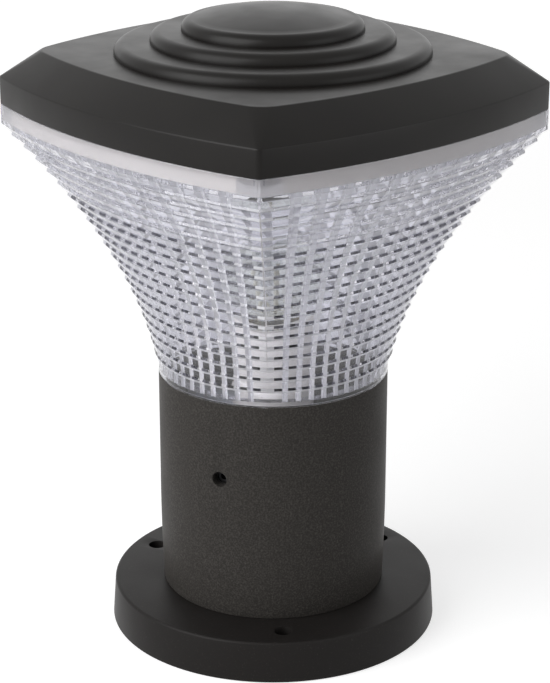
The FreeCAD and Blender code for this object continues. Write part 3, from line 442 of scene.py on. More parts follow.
@dataclass(frozen=True)
class Finish(ABC):
    """One real material with the surface that its making left."""

    name: str
    colour: str
    roughness: float

    def material(self) -> bpy.types.Material:
        """The Blender material, made at its first use."""
        known = bpy.data.materials.get(self.name)
        if known:
            return known
        made = bpy.data.materials.new(self.name)
        made.use_nodes = True
        tree = made.node_tree
        tree.nodes.clear()
        spot = add_node(tree, "ShaderNodeTexCoord").outputs["Object"]
        shader = self.dress(tree, spot)
        add_node(tree, "ShaderNodeOutputMaterial", links={"Surface": shader})
        return made

    @abstractmethod
    def dress(self, tree: Tree, spot: Socket) -> Socket:
        """Builds the shader.

        Args:
            tree: The material's nodes.
            spot: Object coordinates, in metres.

        Returns:
            The shader's output socket.
        """

    def layered(self, tree: Tree, second: str, share: Socket, height: Socket, depth: float,
                settings: dict, polish: Socket | None = None) -> Socket:
        """Blends two colours over a bump, as every finish does that isn't clear.

        Args:
            tree: The material's nodes.
            second: The colour that shows where the share is 1.
            share: How much of the second colour shows.
            height: What raises the surface.
            depth: How far it raises it, in mm.
            settings: The shader's settings.
            polish: What varies the roughness, or None where the settings give it.

        Returns:
            The shader's output socket.
        """
        colour = add_node(tree, "ShaderNodeMix",
                          {"data_type": "RGBA", 6: srgb(self.colour), 7: srgb(second)}, {0: share})
        bump = add_node(tree, "ShaderNodeBump", {"Strength": 1.0, "Distance": depth * MM}, {"Height": height})
        links = {"Base Color": colour.outputs[2], "Normal": bump.outputs["Normal"]}
        if polish is not None:
            links["Roughness"] = polish
        return add_node(tree, "ShaderNodeBsdfPrincipled", settings, links).outputs["BSDF"]


def mottled(tree: Tree, spot: Socket, size: float, low: float, high: float,
            detail: float = 3.0) -> Socket:
    """Soft patches of a size in mm whose value runs between two limits.

    Args:
        tree: The material's nodes.
        spot: Object coordinates.
        size: Width of a patch, in mm.
        low: Value in the low patches.
        high: Value in the high patches.
        detail: How much finer structure the patches have.

    Returns:
        The value's socket.
    """
    noise = add_node(tree, "ShaderNodeTexNoise", {"Scale": per_mm(size), "Detail": detail}, {"Vector": spot})
    span = add_node(tree, "ShaderNodeMapRange",
                    {"From Min": 0.3, "From Max": 0.7, "To Min": low, "To Max": high},
                    {"Value": noise.outputs["Fac"]})
    return span.outputs["Result"]


@dataclass(frozen=True)
class MouldedPlastic(Finish):
    """Injection-moulded plastic from a spark-eroded tool: an even satin with a very fine grain."""

    worn_colour: str
    grain: float
    grain_depth: float = 0.004
    ior: float = 1.52
    mirror: float = 0.5
    flow_patch: float = 45.0
    polish_patch: float = 18.0

    def dress(self, tree: Tree, spot: Socket) -> Socket:
        """Even colour with faint flow patches, and the tool's grain as a shallow bump."""
        patches = mottled(tree, spot, self.flow_patch, 0.0, 1.0)
        polish = mottled(tree, spot, self.polish_patch, self.roughness * 0.9, self.roughness * 1.12)
        grain = add_node(tree, "ShaderNodeTexNoise", {"Scale": per_mm(self.grain), "Detail": 2.0},
                         {"Vector": spot})
        return self.layered(tree, self.worn_colour, patches, grain.outputs["Fac"], self.grain_depth,
                            {"IOR": self.ior, "Specular IOR Level": self.mirror}, polish)


@dataclass(frozen=True)
class PowderCoat(Finish):
    """Polyester powder baked on a metal: a leathery skin of tiny bumps, whose tops carry painted glints."""

    glint_colour: str
    grain: float
    grain_depth: float = 0.02
    mirror: float = 0.2
    glint_start: float = 0.6
    glint_end: float = 0.74
    wave: float = 4.0
    polish_patch: float = 25.0

    def dress(self, tree: Tree, spot: Socket) -> Socket:
        """Black skin with a grainy bump on slow waves, and painted glints: a paler colour on the bumps' tops.
        """
        grain = add_node(tree, "ShaderNodeTexNoise",
                         {"Scale": per_mm(self.grain), "Detail": 3.0, "Roughness": 0.6}, {"Vector": spot})
        # painted glints: the paler colour goes on the highest grain, for the light that the bumps catch
        tops = add_node(tree, "ShaderNodeMapRange",
                        {"From Min": self.glint_start, "From Max": self.glint_end},
                        {"Value": grain.outputs["Fac"]})
        waves = add_node(tree, "ShaderNodeTexNoise", {"Scale": per_mm(self.wave), "Detail": 1.0},
                         {"Vector": spot})
        height = add_node(tree, "ShaderNodeMath", {"operation": "MULTIPLY_ADD", 1: 0.5},
                          {0: waves.outputs["Fac"], 2: grain.outputs["Fac"]})
        polish = mottled(tree, spot, self.polish_patch, self.roughness * 0.92, self.roughness * 1.08)
        return self.layered(tree, self.glint_colour, tops.outputs["Result"], height.outputs["Value"],
                            self.grain_depth, {"IOR": 1.5, "Specular IOR Level": self.mirror}, polish)


@dataclass(frozen=True)
class ClearMoulding(Finish):
    """Moulded clear plastic or pressed glass: it bends what is behind it and mirrors at its facets."""

    ior: float = 1.585
    flow: float = 14.0
    flow_depth: float = 0.01
    clear: float = 1.0
    lamplight: str = "#fafafc"

    def dress(self, tree: Tree, spot: Socket) -> Socket:
        """Clear body with the faint flow ripples of a thick moulding, which the lamps shine through."""
        ripple = add_node(tree, "ShaderNodeTexNoise", {"Scale": per_mm(self.flow), "Detail": 1.0},
                          {"Vector": spot})
        bump = add_node(tree, "ShaderNodeBump", {"Strength": 1.0, "Distance": self.flow_depth * MM},
                        {"Height": ripple.outputs["Fac"]})
        shader = add_node(tree, "ShaderNodeBsdfPrincipled",
                          {"Base Color": srgb(self.colour), "Roughness": self.roughness, "IOR": self.ior,
                           "Transmission Weight": self.clear}, {"Normal": bump.outputs["Normal"]})
        path = add_node(tree, "ShaderNodeLightPath")
        open_way = add_node(tree, "ShaderNodeBsdfTransparent", {"Color": srgb(self.lamplight)})
        both = add_node(tree, "ShaderNodeMixShader", None,
                        {0: path.outputs["Is Shadow Ray"], 1: shader.outputs["BSDF"],
                         2: open_way.outputs["BSDF"]})
        return both.outputs["Shader"]


@dataclass(frozen=True)
class Metal(Finish):
    """Bare or plated metal, with the fine mottle of plating or the lines of drawing."""

    tarnish: str
    grain: float
    surface: Surface = Surface.PLATED
    grain_depth: float = 0.002
    stain_patch: float = 12.0

    def dress(self, tree: Tree, spot: Socket) -> Socket:
        """Metal whose colour and polish vary with the grain that its making left."""
        place = add_node(tree, "ShaderNodeMapping", {"Scale": self.surface.value}, {"Vector": spot})
        grain = add_node(tree, "ShaderNodeTexNoise", {"Scale": per_mm(self.grain), "Detail": 4.0},
                         {"Vector": place.outputs["Vector"]})
        stain = mottled(tree, spot, self.stain_patch, 0.0, 0.6)
        polish = add_node(tree, "ShaderNodeMapRange",
                          {"To Min": self.roughness * 0.7, "To Max": self.roughness * 1.3},
                          {"Value": grain.outputs["Fac"]})
        return self.layered(tree, self.tarnish, stain, grain.outputs["Fac"], self.grain_depth,
                            {"Metallic": 1.0}, polish.outputs["Result"])


@dataclass(frozen=True)
class GlazedPorcelain(Finish):
    """White porcelain under a fired glaze: a hard gloss that pools slightly and hides a few grey specks."""

    speck_colour: str = "#9b938a"
    speck_gap: float = 6.0
    pool: float = 9.0
    pool_depth: float = 0.06

    def dress(self, tree: Tree, spot: Socket) -> Socket:
        """White body with sparse specks, under a coat of glaze."""
        specks = add_node(tree, "ShaderNodeTexVoronoi", {"Scale": per_mm(self.speck_gap)}, {"Vector": spot})
        near = add_node(tree, "ShaderNodeMapRange",
                        {"From Min": 0.03, "From Max": 0.06, "To Min": 1.0, "To Max": 0.0},
                        {"Value": specks.outputs["Distance"]})
        pool = add_node(tree, "ShaderNodeTexNoise", {"Scale": per_mm(self.pool), "Detail": 1.0},
                        {"Vector": spot})
        return self.layered(tree, self.speck_colour, near.outputs["Result"], pool.outputs["Fac"],
                            self.pool_depth, {"Roughness": self.roughness, "IOR": 1.52,
                                              "Coat Weight": 0.8, "Coat Roughness": 0.05})


@dataclass(frozen=True)
class Rubber(Finish):
    """Moulded or foamed black rubber: a dry, dark surface with a grey bloom."""

    bloom: str = "#3a3938"
    bloom_patch: float = 7.0
    pit: float = 0.6
    pit_depth: float = 0.03

    def dress(self, tree: Tree, spot: Socket) -> Socket:
        """Near black with grey bloom in patches and a pitted skin."""
        patches = mottled(tree, spot, self.bloom_patch, 0.0, 0.7, 5.0)
        pits = add_node(tree, "ShaderNodeTexNoise", {"Scale": per_mm(self.pit), "Detail": 3.0},
                        {"Vector": spot})
        return self.layered(tree, self.bloom, patches, pits.outputs["Fac"], self.pit_depth,
                            {"Roughness": self.roughness, "IOR": 1.5})


# ABS, black, gloss-damped in the tool: satin with a soft broad highlight
CAP_ABS = MouldedPlastic("satin_black_abs", "#100e0d", 0.36, worn_colour="#151311", grain=0.45,
                         grain_depth=0.003, mirror=0.17)
# polyester powder on a steel tube: charcoal, rougher than the cap, with an even, fine grain and painted
# glints on it
NECK_POWDER = PowderCoat("textured_black_powder", "#312f2d", 0.5, glint_colour="#4a4744", grain=0.75,
                         mirror=0.08, glint_start=0.44)
# polyester powder on the cast base: blacker and smoother, so that it shows a sheen at its rim; painted glints
# on its grain
BASE_POWDER = PowderCoat("satin_black_powder", "#1d1b1a", 0.45, glint_colour="#33302e", grain=0.7,
                         grain_depth=0.012, mirror=0.12)
# a thin coat of the same powder on the aluminium spigot: black with a weak grain and faint painted glints
SPIGOT_POWDER = PowderCoat("thin_black_powder", "#242322", 0.45, glint_colour="#3d3b39", grain=0.6,
                           grain_depth=0.01)
# polycarbonate, water-clear with the faint violet tint of its blueing dye
CLEAR_PC = ClearMoulding("clear_polycarbonate", "#d7d7de", 0.02)
# the same plastic where the tool was etched: the upright prisms and the lowest rows' gaps glow evenly
ETCHED_PC = ClearMoulding("etched_polycarbonate", "#d2d2d8", 0.34, clear=0.6)
# and where it was spark-eroded to a full frost: the band's inner wall, which hides the screws' tabs,
# and the ridges down the corners
FROSTED_PC = ClearMoulding("frosted_polycarbonate", "#bfbcbc", 0.6, clear=0.7)
# and the lower rows' upright faces: the same plastic on the real light; here a dark tint of a low index is
# painted shade, standing for the black neck that those faces send the eye down the wall to
PAINTED_SHADE_PC = ClearMoulding("painted_shade_polycarbonate", "#3c3c44", 0.1, ior=1.25)
# soda-lime glass, blown thin: clear with slow ripples
BLOWN_GLASS = ClearMoulding("blown_soda_lime_glass", "#f7f9f6", 0.0, ior=1.5, flow=20.0, flow_depth=0.02)
# ABS, white, moulded matt for the tray that throws light back down
WHITE_ABS = MouldedPlastic("matt_white_abs", "#e9e7e2", 0.42, worn_colour="#dedbd4", grain=0.6)
# nylon, moulded in its natural colour for the terminal block: milky
NYLON = MouldedPlastic("natural_nylon", "#e2ddcf", 0.45, worn_colour="#d6cfbd", grain=0.8)
# EPDM rubber, moulded and foamed, of seals and the grommet: dry and nearly black
EPDM = Rubber("black_epdm_rubber", "#171717", 0.75)
# mild steel, zinc plated and passivated: grey with a blue cast
ZINC = Metal("zinc_plated_steel", "#bfc3c6", 0.34, tarnish="#9da0a6", grain=1.2)
# black oxide on the hardened set screws: dark, with a little of the steel's shine
BLACK_OXIDE = Metal("black_oxide_steel", "#3a3a3c", 0.42, tarnish="#2a2828", grain=1.0)
# drawn brass of the lampholder's shell and contacts: warm, with fine lines round it
BRASS = Metal("drawn_brass", "#d8b76a", 0.26, tarnish="#b08a48", grain=1.5, surface=Surface.DRAWN)
# nickel plating on the bulb's rolled screw cap: bright and slightly yellow
NICKEL = Metal("nickel_plated_brass", "#cdc8be", 0.2, tarnish="#b7b0a3", grain=1.0)
# glazed porcelain of the lampholder: white, with a hard gloss
PORCELAIN = GlazedPorcelain("white_glazed_porcelain", "#f1eee7", 0.22)
# vitrite, the fused dark glass round the bulb's tip: glossy black
VITRITE = MouldedPlastic("dark_vitrite_glass", "#141216", 0.12, worn_colour="#1c191f", grain=3.0)
# silicone loaded with phosphor, drawn over the light-emitting sticks: a pale, matt cream when off
PHOSPHOR = MouldedPlastic("phosphor_silicone", "#e3e0d4", 0.5, worn_colour="#dad6c6", grain=0.4)
# extruded PVC on the three leads: an even satin
PVC_BROWN = MouldedPlastic("brown_pvc", "#5b3320", 0.4, worn_colour="#4d2a19", grain=0.8)
PVC_BLUE = MouldedPlastic("blue_pvc", "#1f5fae", 0.4, worn_colour="#1b5398", grain=0.8)
PVC_GREEN = MouldedPlastic("green_yellow_pvc", "#4f8f2e", 0.4, worn_colour="#d8c63a", grain=0.8)

# the finish of every material slot in the record
CAD_FINISHES: dict[str, Finish] = {
    "base_coat": BASE_POWDER, "neck_coat": NECK_POWDER, "spigot_metal": SPIGOT_POWDER,
    "cap_plastic": CAP_ABS, "clear_lens": CLEAR_PC, "white_plastic": WHITE_ABS, "seal_rubber": EPDM,
    "steel": ZINC, "dark_steel": BLACK_OXIDE, "brass": BRASS, "nickel": NICKEL, "porcelain": PORCELAIN,
    "terminal_plastic": NYLON, "live_insulation": PVC_BROWN, "neutral_insulation": PVC_BLUE,
    "earth_insulation": PVC_GREEN, "bulb_glass": BLOWN_GLASS, "dark_glass": VITRITE,
    "filament_coat": PHOSPHOR,
}


# ---------------------------------------------------------------- studio
@dataclass(frozen=True)
class Camera:
    """The photograph's view: a long lens from a little above the cap. Only far is in metres."""

    azimuth: float = 47.6
    distance: float = 901.2
    sideways: float = 0.8
    height: float = 457.2
    pitch: float = 19.94
    focal: float = 113.8
    sensor: float = 36.0
    far: float = 50.0

    def place(self) -> None:
        """Adds the camera and makes it the scene's."""
        data = bpy.data.cameras.new("view")
        data.lens = self.focal
        data.sensor_width = self.sensor
        data.sensor_fit = "AUTO"
        data.clip_end = self.far
        camera = bpy.data.objects.new("view", data)
        turn = math.radians(self.azimuth)
        right = Vector((math.cos(turn), math.sin(turn), 0))
        spot = around(self.distance, self.azimuth, self.height) + right * self.sideways
        camera.location = spot * MM
        camera.rotation_euler = (math.radians(90 - self.pitch), 0, turn)
        bpy.context.scene.collection.objects.link(camera)
        bpy.context.scene.camera = camera


@dataclass(frozen=True)
class Softbox:
    """A square soft lamp."""

    name: str
    azimuth: float
    distance: float
    height: float
    size: float
    power: float

    def place(self, target: Vector) -> None:
        """Adds the lamp, aimed at a point in mm."""
        data = bpy.data.lights.new(self.name, "AREA")
        data.shape = "SQUARE"
        data.size = self.size * MM
        data.energy = self.power
        lamp = bpy.data.objects.new(self.name, data)
        spot = around(self.distance, self.azimuth, self.height)
        lamp.location = spot * MM
        lamp.rotation_euler = (target - spot).to_track_quat("-Z", "Y").to_euler()
        lamp.visible_camera = False
        bpy.context.scene.collection.objects.link(lamp)


@dataclass(frozen=True)
class Studio:
    """Plain pale room: a white floor, an even white surround and three softboxes.

    The softboxes, their aim and the paper's patches are in mm, the floor's sizes in metres.
    """

    ambient: float = 0.22
    floor_glow: float = 0.68
    far_glow: float = 0.93
    lit_reach: float = 0.7
    far_reach: float = 3.2
    floor_r: float = 12.0
    floor_drop: float = 0.0003
    floor_colour: str = "#c4c4c4"
    paper_patch: float = 900.0
    aim_z: float = 130.0
    bounces: int = 32
    clear_bounces: int = 24
    mirror_bounces: int = 16
    boxes: tuple[Softbox, ...] = (
        Softbox("key_softbox", -8.0, 1500.0, 1000.0, 1600.0, 33.0),
        Softbox("back_softbox", 227.6, 1500.0, 760.0, 1500.0, 2.5),
        Softbox("side_softbox", 112.0, 1500.0, 420.0, 1200.0, 5.0),
    )

    def place(self) -> None:
        """Adds the world, the floor and the lamps."""
        scene = bpy.context.scene
        scene.view_settings.view_transform = "Standard"
        scene.cycles.transmission_bounces = self.clear_bounces
        scene.cycles.glossy_bounces = self.mirror_bounces
        scene.cycles.max_bounces = self.bounces
        world = bpy.data.worlds.new("surround")
        scene.world = world
        world.use_nodes = True
        tree = world.node_tree
        tree.nodes.clear()
        strength = add_node(tree, "ShaderNodeMapRange", {"To Min": self.ambient, "To Max": 1.0},
                            {"Value": self.seen(tree)})
        sky = add_node(tree, "ShaderNodeBackground", {"Color": (1, 1, 1, 1)},
                       {"Strength": strength.outputs["Result"]})
        add_node(tree, "ShaderNodeOutputWorld", links={"Surface": sky.outputs["Background"]})
        self.lay_floor()
        for box in self.boxes:
            box.place(Vector((0, 0, self.aim_z)))

    @staticmethod
    def seen(tree: Tree) -> Socket:
        """1 where the eye, a mirror or a clear piece looks, and 0 where light is only gathered."""
        path = add_node(tree, "ShaderNodeLightPath")
        either = add_node(tree, "ShaderNodeMath", {"operation": "MAXIMUM"},
                          {0: path.outputs["Is Camera Ray"], 1: path.outputs["Is Glossy Ray"]})
        every = add_node(tree, "ShaderNodeMath", {"operation": "MAXIMUM"},
                         {0: either.outputs["Value"], 1: path.outputs["Is Transmission Ray"]})
        return every.outputs["Value"]

    def lay_floor(self) -> None:
        """Adds a wide floor that keeps the light's shadow and is white elsewhere."""
        bm = bmesh.new()
        bmesh.ops.create_circle(bm, cap_ends=True, segments=64, radius=self.floor_r)
        bmesh.ops.translate(bm, vec=(0, 0, -self.floor_drop), verts=bm.verts[:])
        mesh = bpy.data.meshes.new("floor")
        bm.to_mesh(mesh)
        bm.free()
        paper = bpy.data.materials.new("white_paper")
        paper.use_nodes = True
        tree = paper.node_tree
        tree.nodes.clear()
        spot = add_node(tree, "ShaderNodeTexCoord").outputs["Object"]
        tone = mottled(tree, spot, self.paper_patch, 0.98, 1.02)
        colour = add_node(tree, "ShaderNodeVectorMath",
                          {"operation": "SCALE", 0: srgb(self.floor_colour)[:3]}, {"Scale": tone})
        matt = add_node(tree, "ShaderNodeBsdfDiffuse", links={"Color": colour.outputs["Vector"]})
        reach = add_node(tree, "ShaderNodeVectorMath", {"operation": "LENGTH"}, {0: spot})
        level = add_node(tree, "ShaderNodeMapRange",
                         {"From Min": self.lit_reach, "From Max": self.far_reach,
                          "To Min": self.floor_glow, "To Max": self.far_glow},
                         {"Value": reach.outputs["Value"]})
        glow = add_node(tree, "ShaderNodeMath", {"operation": "MULTIPLY"},
                        {0: self.seen(tree), 1: level.outputs["Result"]})
        light = add_node(tree, "ShaderNodeEmission", {"Color": (1, 1, 1, 1)},
                         {"Strength": glow.outputs["Value"]})
        both = add_node(tree, "ShaderNodeAddShader",
                        links={0: matt.outputs["BSDF"], 1: light.outputs["Emission"]})
        add_node(tree, "ShaderNodeOutputMaterial", links={"Surface": both.outputs["Shader"]})
        mesh.materials.append(paper)
        floor = bpy.data.objects.new("floor", mesh)
        bpy.context.scene.collection.objects.link(floor)


# ---------------------------------------------------------------- lens
class LensFinish(IntEnum):
    """Which of the lens's finishes a face has, as they stand in LENS_FINISHES."""

    CLEAR = 0
    ETCHED = 1
    FROSTED = 2
    # painted shade: the dark tint on the lower rows' upright faces
    PAINTED_SHADE = 3


LENS_FINISHES = (CLEAR_PC, ETCHED_PC, FROSTED_PC, PAINTED_SHADE_PC)


@dataclass(frozen=True)
class Lens:
    """Clear moulding that flares from a round collar to a bowed square, with rows of prisms."""

    foot_z: float = 118.7
    ring_height: float = 4.0
    flare_height: float = 109.3
    foot_r: float = 51.0
    corner_r: float = 117.3
    side_r: float = 95.2
    corner_lean: float = 23.1
    wall: float = 2.0
    band_height: float = 9.2
    ledge: float = 1.2
    ledge_rise: float = 0.3
    rows: int = 19
    last_slope: float = 0.66
    row_face: float = 0.21
    row_lean: float = 0.35
    lip_share: float = 0.2
    lip_relief: float = 0.3
    columns: int = 13
    column_span: float = 0.963
    pad_share: float = 0.57
    prism_slope: float = 0.9
    # how many rows from the foot get painted shade on their upright faces
    painted_shade_rows: int = 14
    gap_rows: int = 6
    collar_r: float = 47.3
    collar_bore_r: float = 44.8
    collar_depth: float = 12.7
    groove_depth: float = 1.75
    groove_height: float = 1.9
    crest_round: float = 0.22
    corner_round: float = 0.6
    corner_steps: int = 2
    flute_levels: int = 26
    tab_r: float = 8.0
    tab_thick: float = 3.0
    tab_inset: float = 10.8
    tab_hole_r: float = 2.3
    tab_round: float = 0.2
    tab_foot_round: float = 0.4
    tab_gap: float = 0.02

    def row_pitch(self) -> float:
        """Height of one row of prisms."""
        return (self.flare_height - self.ring_height) / (self.rows + self.last_slope)

    def band_z(self) -> float:
        """Height at which the smooth band starts."""
        return self.foot_z + self.flare_height

    def rim_z(self) -> float:
        """Height of the lens's top edge."""
        return self.band_z() + self.band_height

    def flare(self, z: float) -> tuple[float, float, float, float]:
        """Corner radius, side radius and their slopes on the smooth flare at a height."""
        t = (z - self.foot_z) / self.flare_height
        corner_bend = self.corner_r - self.foot_r - self.corner_lean
        side_bend = self.side_r - self.foot_r
        return (self.foot_r + self.corner_lean * t + corner_bend * t ** 2,
                self.foot_r + side_bend * t ** 2,
                (self.corner_lean + 2 * corner_bend * t) / self.flare_height,
                2 * side_bend * t / self.flare_height)

    def inside(self, z: float) -> BowedSquare:
        """Outline of the flare's inner wall at a height."""
        corner_r, side_r, corner_slope, side_slope = self.flare(z)
        root = self.row_pitch() * self.row_face / 2
        corner_in = corner_r - self.wall * math.hypot(1, corner_slope) - root * corner_slope - self.row_lean
        side_in = side_r - self.wall * math.hypot(1, side_slope) - root * side_slope - self.row_lean
        return BowedSquare(corner_in, side_in, self.corner_round)

    def places(self) -> tuple[list[float], list[float]]:
        """Places along a side, and which of them are the crests of upright prisms."""
        shares = [-1.0]
        depths = [0.0]
        column = 2 * self.column_span / self.columns
        for k in range(self.columns):
            middle = (k - (self.columns - 1) / 2) * column
            for part in (-0.5, 0.0, 0.5):
                shares.append(middle + part * self.pad_share * column)
                depths.append(0.0)
            if k < self.columns - 1:
                shares.append(middle + column / 2)
                depths.append(1.0)
        return shares + [1.0], depths + [0.0]

    def body(self) -> Shape:
        """The collar, the ring, the rows, the band and the fluted inner wall as one solid."""
        shares, crests = self.places()
        half_strip = (1 - self.pad_share) * self.column_span / self.columns / 2
        pitch = self.row_pitch()
        full = BowedSquare(self.corner_r, self.side_r, self.corner_round)
        collar = BowedSquare(self.collar_r, self.collar_r)
        foot = BowedSquare(self.foot_r, self.foot_r)
        bore = BowedSquare(self.collar_bore_r, self.collar_bore_r)
        groove = BowedSquare(self.collar_r - self.groove_depth, self.collar_r - self.groove_depth)
        low = self.foot_z - self.collar_depth
        seat = self.foot_z - self.collar_depth / 2
        rings: list[Ring] = []
        crisp: list[int] = []
        faces: list[int] = []

        def lay(outline: BowedSquare, z: float, soft: bool = False, deep: bool = False) -> None:
            """Adds a ring to the loft.

            Args:
                outline: The ring's outline.
                z: Its height, in mm.
                soft: True to round its edges afterwards.
                deep: True to press the upright prisms into it.
            """
            if soft:
                crisp.append(len(rings))
            depth = self.prism_slope * half_strip * outline.side_length()
            depths = [depth * c for c in crests] if deep else None
            rings.append(outline.ring(z, shares, self.corner_steps, depths))

        lay(collar, low, True)
        lay(collar, seat)
        lay(groove, seat)
        lay(groove, seat + self.groove_height)
        lay(collar, seat + self.groove_height)
        lay(collar, self.foot_z)
        lay(foot, self.foot_z, True)
        lay(foot, self.foot_z + self.ring_height)
        first = self.foot_z + self.ring_height + (1 - self.row_face) * pitch
        last = (self.foot_r, self.foot_r)
        for row in range(self.rows):
            edge_z = first + row * pitch
            top_z = edge_z + self.row_face * pitch
            radii = self.flare((edge_z + top_z) / 2)[:2]
            near = self.lip_share / (1 - self.row_face)
            lip = [r - (r - below) * near - self.lip_relief for r, below in zip(radii, last)]
            lay(BowedSquare(*lip, self.corner_round), edge_z - self.lip_share * pitch)
            faces.append(len(rings))
            lay(BowedSquare(*radii, self.corner_round), edge_z, True)
            last = (radii[0] - self.row_lean, radii[1] - self.row_lean)
            lay(BowedSquare(*last, self.corner_round), top_z)
        lay(full.inset(self.ledge), self.band_z(), True)
        lay(full, self.band_z() + self.ledge_rise, True)
        lay(full, self.rim_z(), True)
        lay(full.inset(self.wall), self.rim_z(), True)
        flute_top = self.band_z() + self.wall
        flute_foot = self.foot_z + self.ring_height / 2
        lay(full.inset(self.wall), flute_top)
        for k in range(self.flute_levels + 1):
            z = flute_top + (flute_foot - flute_top) * k / self.flute_levels
            lay(self.inside(z), z, deep=True)
        lay(bore, flute_foot)
        lay(bore, low, True)
        shape, edges = Shape.lofted(rings)
        self.paint(shape, edges, faces)
        shape.tidy()
        shape.soften([e for i in crisp for e in edges[i]], self.crest_round)
        return shape.tidy()

    def paint(self, shape: Shape, edges: list[list[BMEdge]], faces: list[int]) -> None:
        """Gives the parts of the body that aren't plainly clear their finishes, painted shade among them.

        Args:
            shape: The lens's body.
            edges: The edges of each of its rings, from the collar up and down the inside.
            faces: The numbers of the rings at the foot of the rows' upright faces.
        """
        _, crests = self.places()
        quarter = len(edges[0]) // 4
        last_pad = len(crests) - 2
        prisms = [k for k in range(1, last_pad) if crests[k] or crests[k + 1]]
        plain = [k for k in range(1, last_pad) if k not in prisms]
        strips, pads, ridges, corners = (
            [q * quarter + k for q in range(4) for k in group]
            for group in (prisms, plain, range(last_pad + 1, quarter), (0, last_pad)))
        flutes = len(edges) - self.flute_levels - 3
        for i in range(flutes, len(edges) - 3):
            shape.paint(edges[i], edges[i + 1], LensFinish.ETCHED, strips)
        shape.paint(edges[flutes - 2], edges[flutes - 1], LensFinish.FROSTED)
        for i in range(faces[0], faces[-1]):
            shape.paint(edges[i], edges[i + 1], LensFinish.FROSTED, ridges)
        # painted shade: the lower rows' upright faces, in the columns of the pads, get the dark tint
        for i in faces[:self.painted_shade_rows]:
            shape.paint(edges[i], edges[i + 1], LensFinish.PAINTED_SHADE, pads)
        for i in faces:
            shape.paint(edges[i], edges[i + 1], LensFinish.ETCHED, corners)
        for i in faces[:self.gap_rows]:
            shape.paint(edges[i - 1], edges[i], LensFinish.ETCHED)

    def tab(self) -> Shape:
        """One screw tab, filling the band's corner."""
        reach = (self.corner_r - self.tab_inset) * math.sqrt(0.5)
        low, high = self.rim_z() - self.tab_thick, self.rim_z()
        tab = Shape.turned([(self.tab_hole_r, low, self.tab_round), (self.tab_r, low, self.tab_foot_round),
                            (self.tab_r, high, self.tab_round), (self.tab_hole_r, high, self.tab_round)],
                           48, segments=2)
        tab.moved(Matrix.Translation((reach, reach, 0)))
        bow_r, centre = BowedSquare(self.corner_r, self.side_r).inset(self.wall + self.tab_gap).bow()
        for middle in (Vector((centre, 0, 0)), Vector((0, centre, 0))):
            toward = (Vector((reach, reach, 0)) - middle).normalized()
            cut = bmesh.ops.bisect_plane(tab.bm, geom=tab.bm.verts[:] + tab.bm.edges[:] + tab.bm.faces[:],
                                         dist=1e-5, plane_co=middle + toward * bow_r, plane_no=toward,
                                         clear_outer=True)
            rim = [g for g in cut["geom_cut"] if isinstance(g, BMEdge)]
            bmesh.ops.edgeloop_fill(tab.bm, edges=rim)
        return tab.tidy()

    def build(self) -> None:
        """Makes the lens."""
        shape = self.body()
        shape.add(self.tab(), *[Matrix.Rotation(math.radians(90 * k), 4, "Z") for k in range(4)])
        shape.finish("lens_moulding", LENS_FINISHES, "head", "clear_lens", ["lens"], flat_above=9.0)


# ---------------------------------------------------------------- cap
@dataclass(frozen=True)
class Boss:
    """Tube that takes a screw, standing in the cap at a distance and an azimuth from the axis."""

    reach: float
    azimuth: float
    radius: float
    bore_r: float
    low_z: float
    high_z: float
    bore_high_z: float
    edge_round: float = 0.2

    def shape(self) -> Shape:
        """The boss, still on the axis."""
        return Shape.turned([(self.bore_r, self.low_z, 0.0), (self.radius, self.low_z, self.edge_round),
                             (self.radius, self.high_z, 0.0), (self.bore_r, self.bore_high_z, 0.0)], 32)

    def place(self, quarter: int) -> Matrix:
        """Where the boss of a quarter of the cap stands."""
        return Matrix.Translation(around(self.reach, self.azimuth + 90 * quarter))


